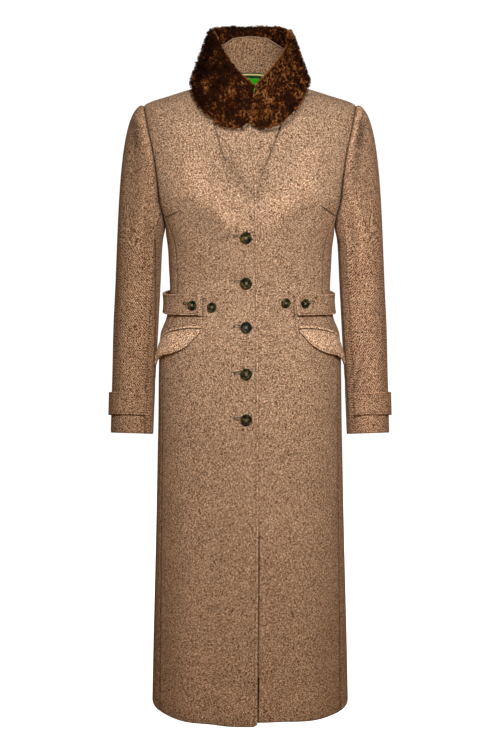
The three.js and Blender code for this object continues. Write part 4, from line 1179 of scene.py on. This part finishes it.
loden_thread = thread_finish("loden_thread", srgb(92, 62, 42), srgb(150, 114, 86))
green_thread = thread_finish("buttonhole_thread", srgb(20, 24, 14), srgb(66, 66, 42))
pale_thread = thread_finish("button_thread", srgb(140, 110, 84), srgb(222, 196, 168))
seams = [seam_path(face, out, STRAP_STITCHES) for face, out in stitched]
seams += [front_edge_path(), welt_path(-1), welt_path(1)]
cut = [stitch_lines(*seam) for seam in seams]
threads("topstitching", np.concatenate([c[0] for c in cut]), np.concatenate([c[1] for c in cut]),
        np.array([0.5, 1, 1, 0.5]) * THREAD, loden_thread)
top_edge = (stand_face[-1] + np.array([0, 0, 0.5]))[None]
threads("stand_piping", top_edge, np.array([0.0, 0, 1]), np.full(top_edge.shape[1], 1.5), pale_thread)


def over_lap(x, z):
    """A spot of the right front, raised by its lap."""
    angle, level = on_body(x, z)
    up = body_normal(angle, level)
    return body_point(angle, level) + up * LAP, up


def on_tab(x, z):
    angle, level = on_body(x, z)
    lowest = belt_level(angle, 0)
    return belt_point(angle, (level - lowest) / (BELT_TOP - BELT_BOTTOM)), body_normal(angle, level)


def on_cuff(side):
    def at(x, z):
        turn = CUFF_BUTTON_AT + x / 0.85
        point, up = arm_point(turn, z), arm_normal(turn, z)
        mirror = np.array([side, 1, 1])
        return (point + up * (LAY_GAP + STRAP + 0.4)) * mirror, up * mirror
    return at


FRONT_BUTTON_X = -7
FRONT_BUTTON_LEVELS = (-290, -379, -465, -552, -640)
CUFF_BUTTON_AT, CUFF_BUTTON_Z = -86, (CUFF_TOP + CUFF_BOTTOM) / 2
# surface, x, z, length and way of the slit
BUTTONHOLES = [(over_lap, FRONT_BUTTON_X + 2, z + 2.5, -24) for z in FRONT_BUTTON_LEVELS]
BUTTONHOLES += [(on_tab, -109, -423.5, -15), (on_tab, 104, -419.5, 15)]
BUTTONHOLES += [(on_cuff(side), -1, CUFF_BUTTON_Z + 1.5, 17) for side in (-1, 1)]


def buttonhole_lines(surface, x, z, long):
    """Stitches on both sides of the slit, round the eye at its start and in a bar at its far end."""
    share = np.linspace(0, 1, int(abs(long) / 0.75))[:, None]
    reach = np.array([1.3, 1.8, 2.7, 3.2])
    sign = np.sign(long)
    groups = [(x + share * long + 0 * reach, z + way * (reach + 0 * share)) for way in (-1, 1)]
    turn = np.radians(np.linspace(-115, 115, 9))[:, None]
    ring = reach + 0.7
    groups.append((x - sign * (np.cos(turn) * ring - 0.4), z + np.sin(turn) * ring))
    bar = np.linspace(0, 2.4, 4)[:, None]
    groups.append((x + long + sign * bar + 0 * reach, z + np.array([-2.9, -1, 1, 2.9]) + 0 * bar))
    across, high = (np.concatenate([g[k] for g in groups]) for k in (0, 1))
    place, up = surface(across, high)
    return place + up * np.array([0.1, 0.6, 0.6, 0.0])[None, :, None], up


worked = [buttonhole_lines(*hole) for hole in BUTTONHOLES]
threads("buttonholes", np.concatenate([w[0] for w in worked]), np.concatenate([w[1] for w in worked]),
        (0.4, 0.65, 0.65, 0.4), green_thread)

SLIT_HALF = 0.2
# The slit is a dark strip: the cut edges, and painted shade for the gap between them.
slit_edges_and_shade, slit_shader, slit_start = new_finish("cut_edge_and_painted_shade")
slit_fuzz = slit_start.node("TexCoord", out=3).noise(1800.0)
plug(slit_shader, slit_start, Base_Color=slit_fuzz.dye(srgb(18, 14, 9), srgb(66, 46, 32)), Roughness=0.95)
for number, (surface, x, z, long) in enumerate(BUTTONHOLES, 1):
    run = x + long * np.linspace(-0.04, 1, 24) + np.zeros((2, 1))
    place, up = surface(run, z + np.array([[-SLIT_HALF], [SLIT_HALF]]))
    spots = (place + up * 0.35).reshape(-1, 3)
    slit = mesh_object(f"buttonhole_slit_{number}", spots, grid_faces(2, 24), spots[:, :2], slit_edges_and_shade)
    fasten(slit)


# The buttons are turned from a dark, mottled horn look-alike with a raised rim, a dished middle and
# four holes, and are sewn through with pale thread in a cross. Their holes and backs match the solids.
LARGE, SMALL = (22.5, 4.0), (18.5, 3.6)     # diameter and thickness


def horn_finish():
    finish, shader, start = new_finish("horn_look")
    place = start.node("TexCoord", out=3)
    cloud, grain = place.noise(130.0, 4.0, 0.6), place.noise(900.0)
    colour = start.node("ValToRGB", {"stops": [
        (0.36, srgb(10, 13, 10)), (0.47, srgb(24, 30, 22)),
        (0.55, srgb(60, 60, 34)), (0.66, srgb(132, 114, 60)),
    ]}, Fac=cloud * 0.85 + grain * 0.15)
    plug(shader, start, Base_Color=colour, Roughness=grain * 0.15 + 0.28, Normal=grain.bump(0.15, 0.0002))
    shader.inputs["Specular IOR Level"].default_value = 0.07
    return finish


def turned_button(name, back, up, kind, finish):
    """A button on its spot; back is the middle of its back face. Gives its sewing thread's lines."""
    wide, thick = kind
    radius, dish, apart, hole = wide / 2, 1.0, wide * 0.1, wide * 0.056
    middle = np.linspace(0.02, 0.42, 20)
    rim = [(0.5, 0), (0.6, 0.05), (0.68, 0.3), (0.74, 0.75), (0.8, 0.97), (0.86, 1), (0.92, 0.86)]
    inner = [(r * radius, thick - dish) for r in middle]
    lip = [(r * radius, thick - dish + dish * h) for r, h in rim]
    edge = [(radius * 0.975, thick - 0.55), (radius, thick - 1.3), (radius, 1.1), (radius * 0.97, 0.45),
            (radius * 0.88, 0.1), (radius * 0.7, 0), (radius * 0.02, 0)]
    r, h = np.array(inner + lip + edge).T[:, :, None]
    turn = np.linspace(0, 2 * math.pi, 73)[None, :]
    x, y = r * np.cos(turn), r * np.sin(turn)
    away = np.hypot(np.abs(x) - apart, np.abs(y) - apart)
    pit = 2.0 * smooth(hole + 0.18, hole - 0.12, away) * (h > thick / 2)
    side = unit(np.cross([0, 0, 1], up))
    high = np.cross(up, side)
    points = back + x[..., None] * side + y[..., None] * high + (h - pit)[..., None] * up
    faces = grid_faces(*x.shape)
    places = np.stack([x, y], -1).reshape(-1, 2)
    fasten(mesh_object(name + "_turned", points.reshape(-1, 3), faces, places, finish), name)

    share = np.linspace(-1, 1, 9)[None, :]
    strand = np.array([-0.45, 0.0, 0.45])[:, None]
    arch = thick - dish + 0.45 - 1.7 * np.abs(share) ** 8 + 0 * strand
    lines = []
    for way in (-1, 1):
        sewn_x = share * apart + strand * 0.7 * way
        sewn_y = share * apart * way - strand * 0.7
        lift = arch + (0.35 if way > 0 else 0)
        lines.append(back + sewn_x[..., None] * side + sewn_y[..., None] * high + lift[..., None] * up)
    return np.concatenate(lines)


def seat(x, z, kind, lift):
    """A button on the body rests where its back first meets the curved cloth."""
    angle, level = on_body(x, z)
    spot, up = body_point(angle, level), body_normal(angle, level)
    turn = np.radians(np.arange(0, 360, 45))
    rim_angle, rim_level = on_body(x + kind[0] / 2 * np.cos(turn), z + kind[0] / 2 * np.sin(turn))
    high = max(0, ((body_point(rim_angle, rim_level) - spot) @ up).max())
    return spot + up * (high + lift), up, kind


ON_TAB = STRAP + LAY_GAP + 2.6      # the tabs stand off the fronts
BUTTONS = {
    f"button_front_{k}": seat(FRONT_BUTTON_X, z, LARGE, LAP + 0.6)
    for k, z in enumerate(FRONT_BUTTON_LEVELS, 1)
}
BUTTONS["button_tab_right"] = seat(-107, -425, SMALL, ON_TAB)
BUTTONS["button_waist_right"] = seat(-72, -427.5, SMALL, 1.7)
BUTTONS["button_waist_left"] = seat(68, -419, SMALL, 0.8)
BUTTONS["button_tab_left"] = seat(102, -421, SMALL, ON_TAB)
for side, name in SIDES:
    mirror = np.array([side, 1, 1])
    up = arm_normal(CUFF_BUTTON_AT, CUFF_BUTTON_Z) * mirror
    BUTTONS[f"button_cuff_{name}"] = (arm_point(CUFF_BUTTON_AT, CUFF_BUTTON_Z) * mirror
                                      + up * (STRAP + LAY_GAP + 1), up, SMALL)

horn = horn_finish()
sewing = [turned_button(name, *place, horn) for name, place in BUTTONS.items()]
outward = [np.broadcast_to(place[1], lines.shape) for place, lines in zip(BUTTONS.values(), sewing)]
threads("button_sewing", np.concatenate(sewing), np.concatenate(outward), np.full(9, 0.4), pale_thread)
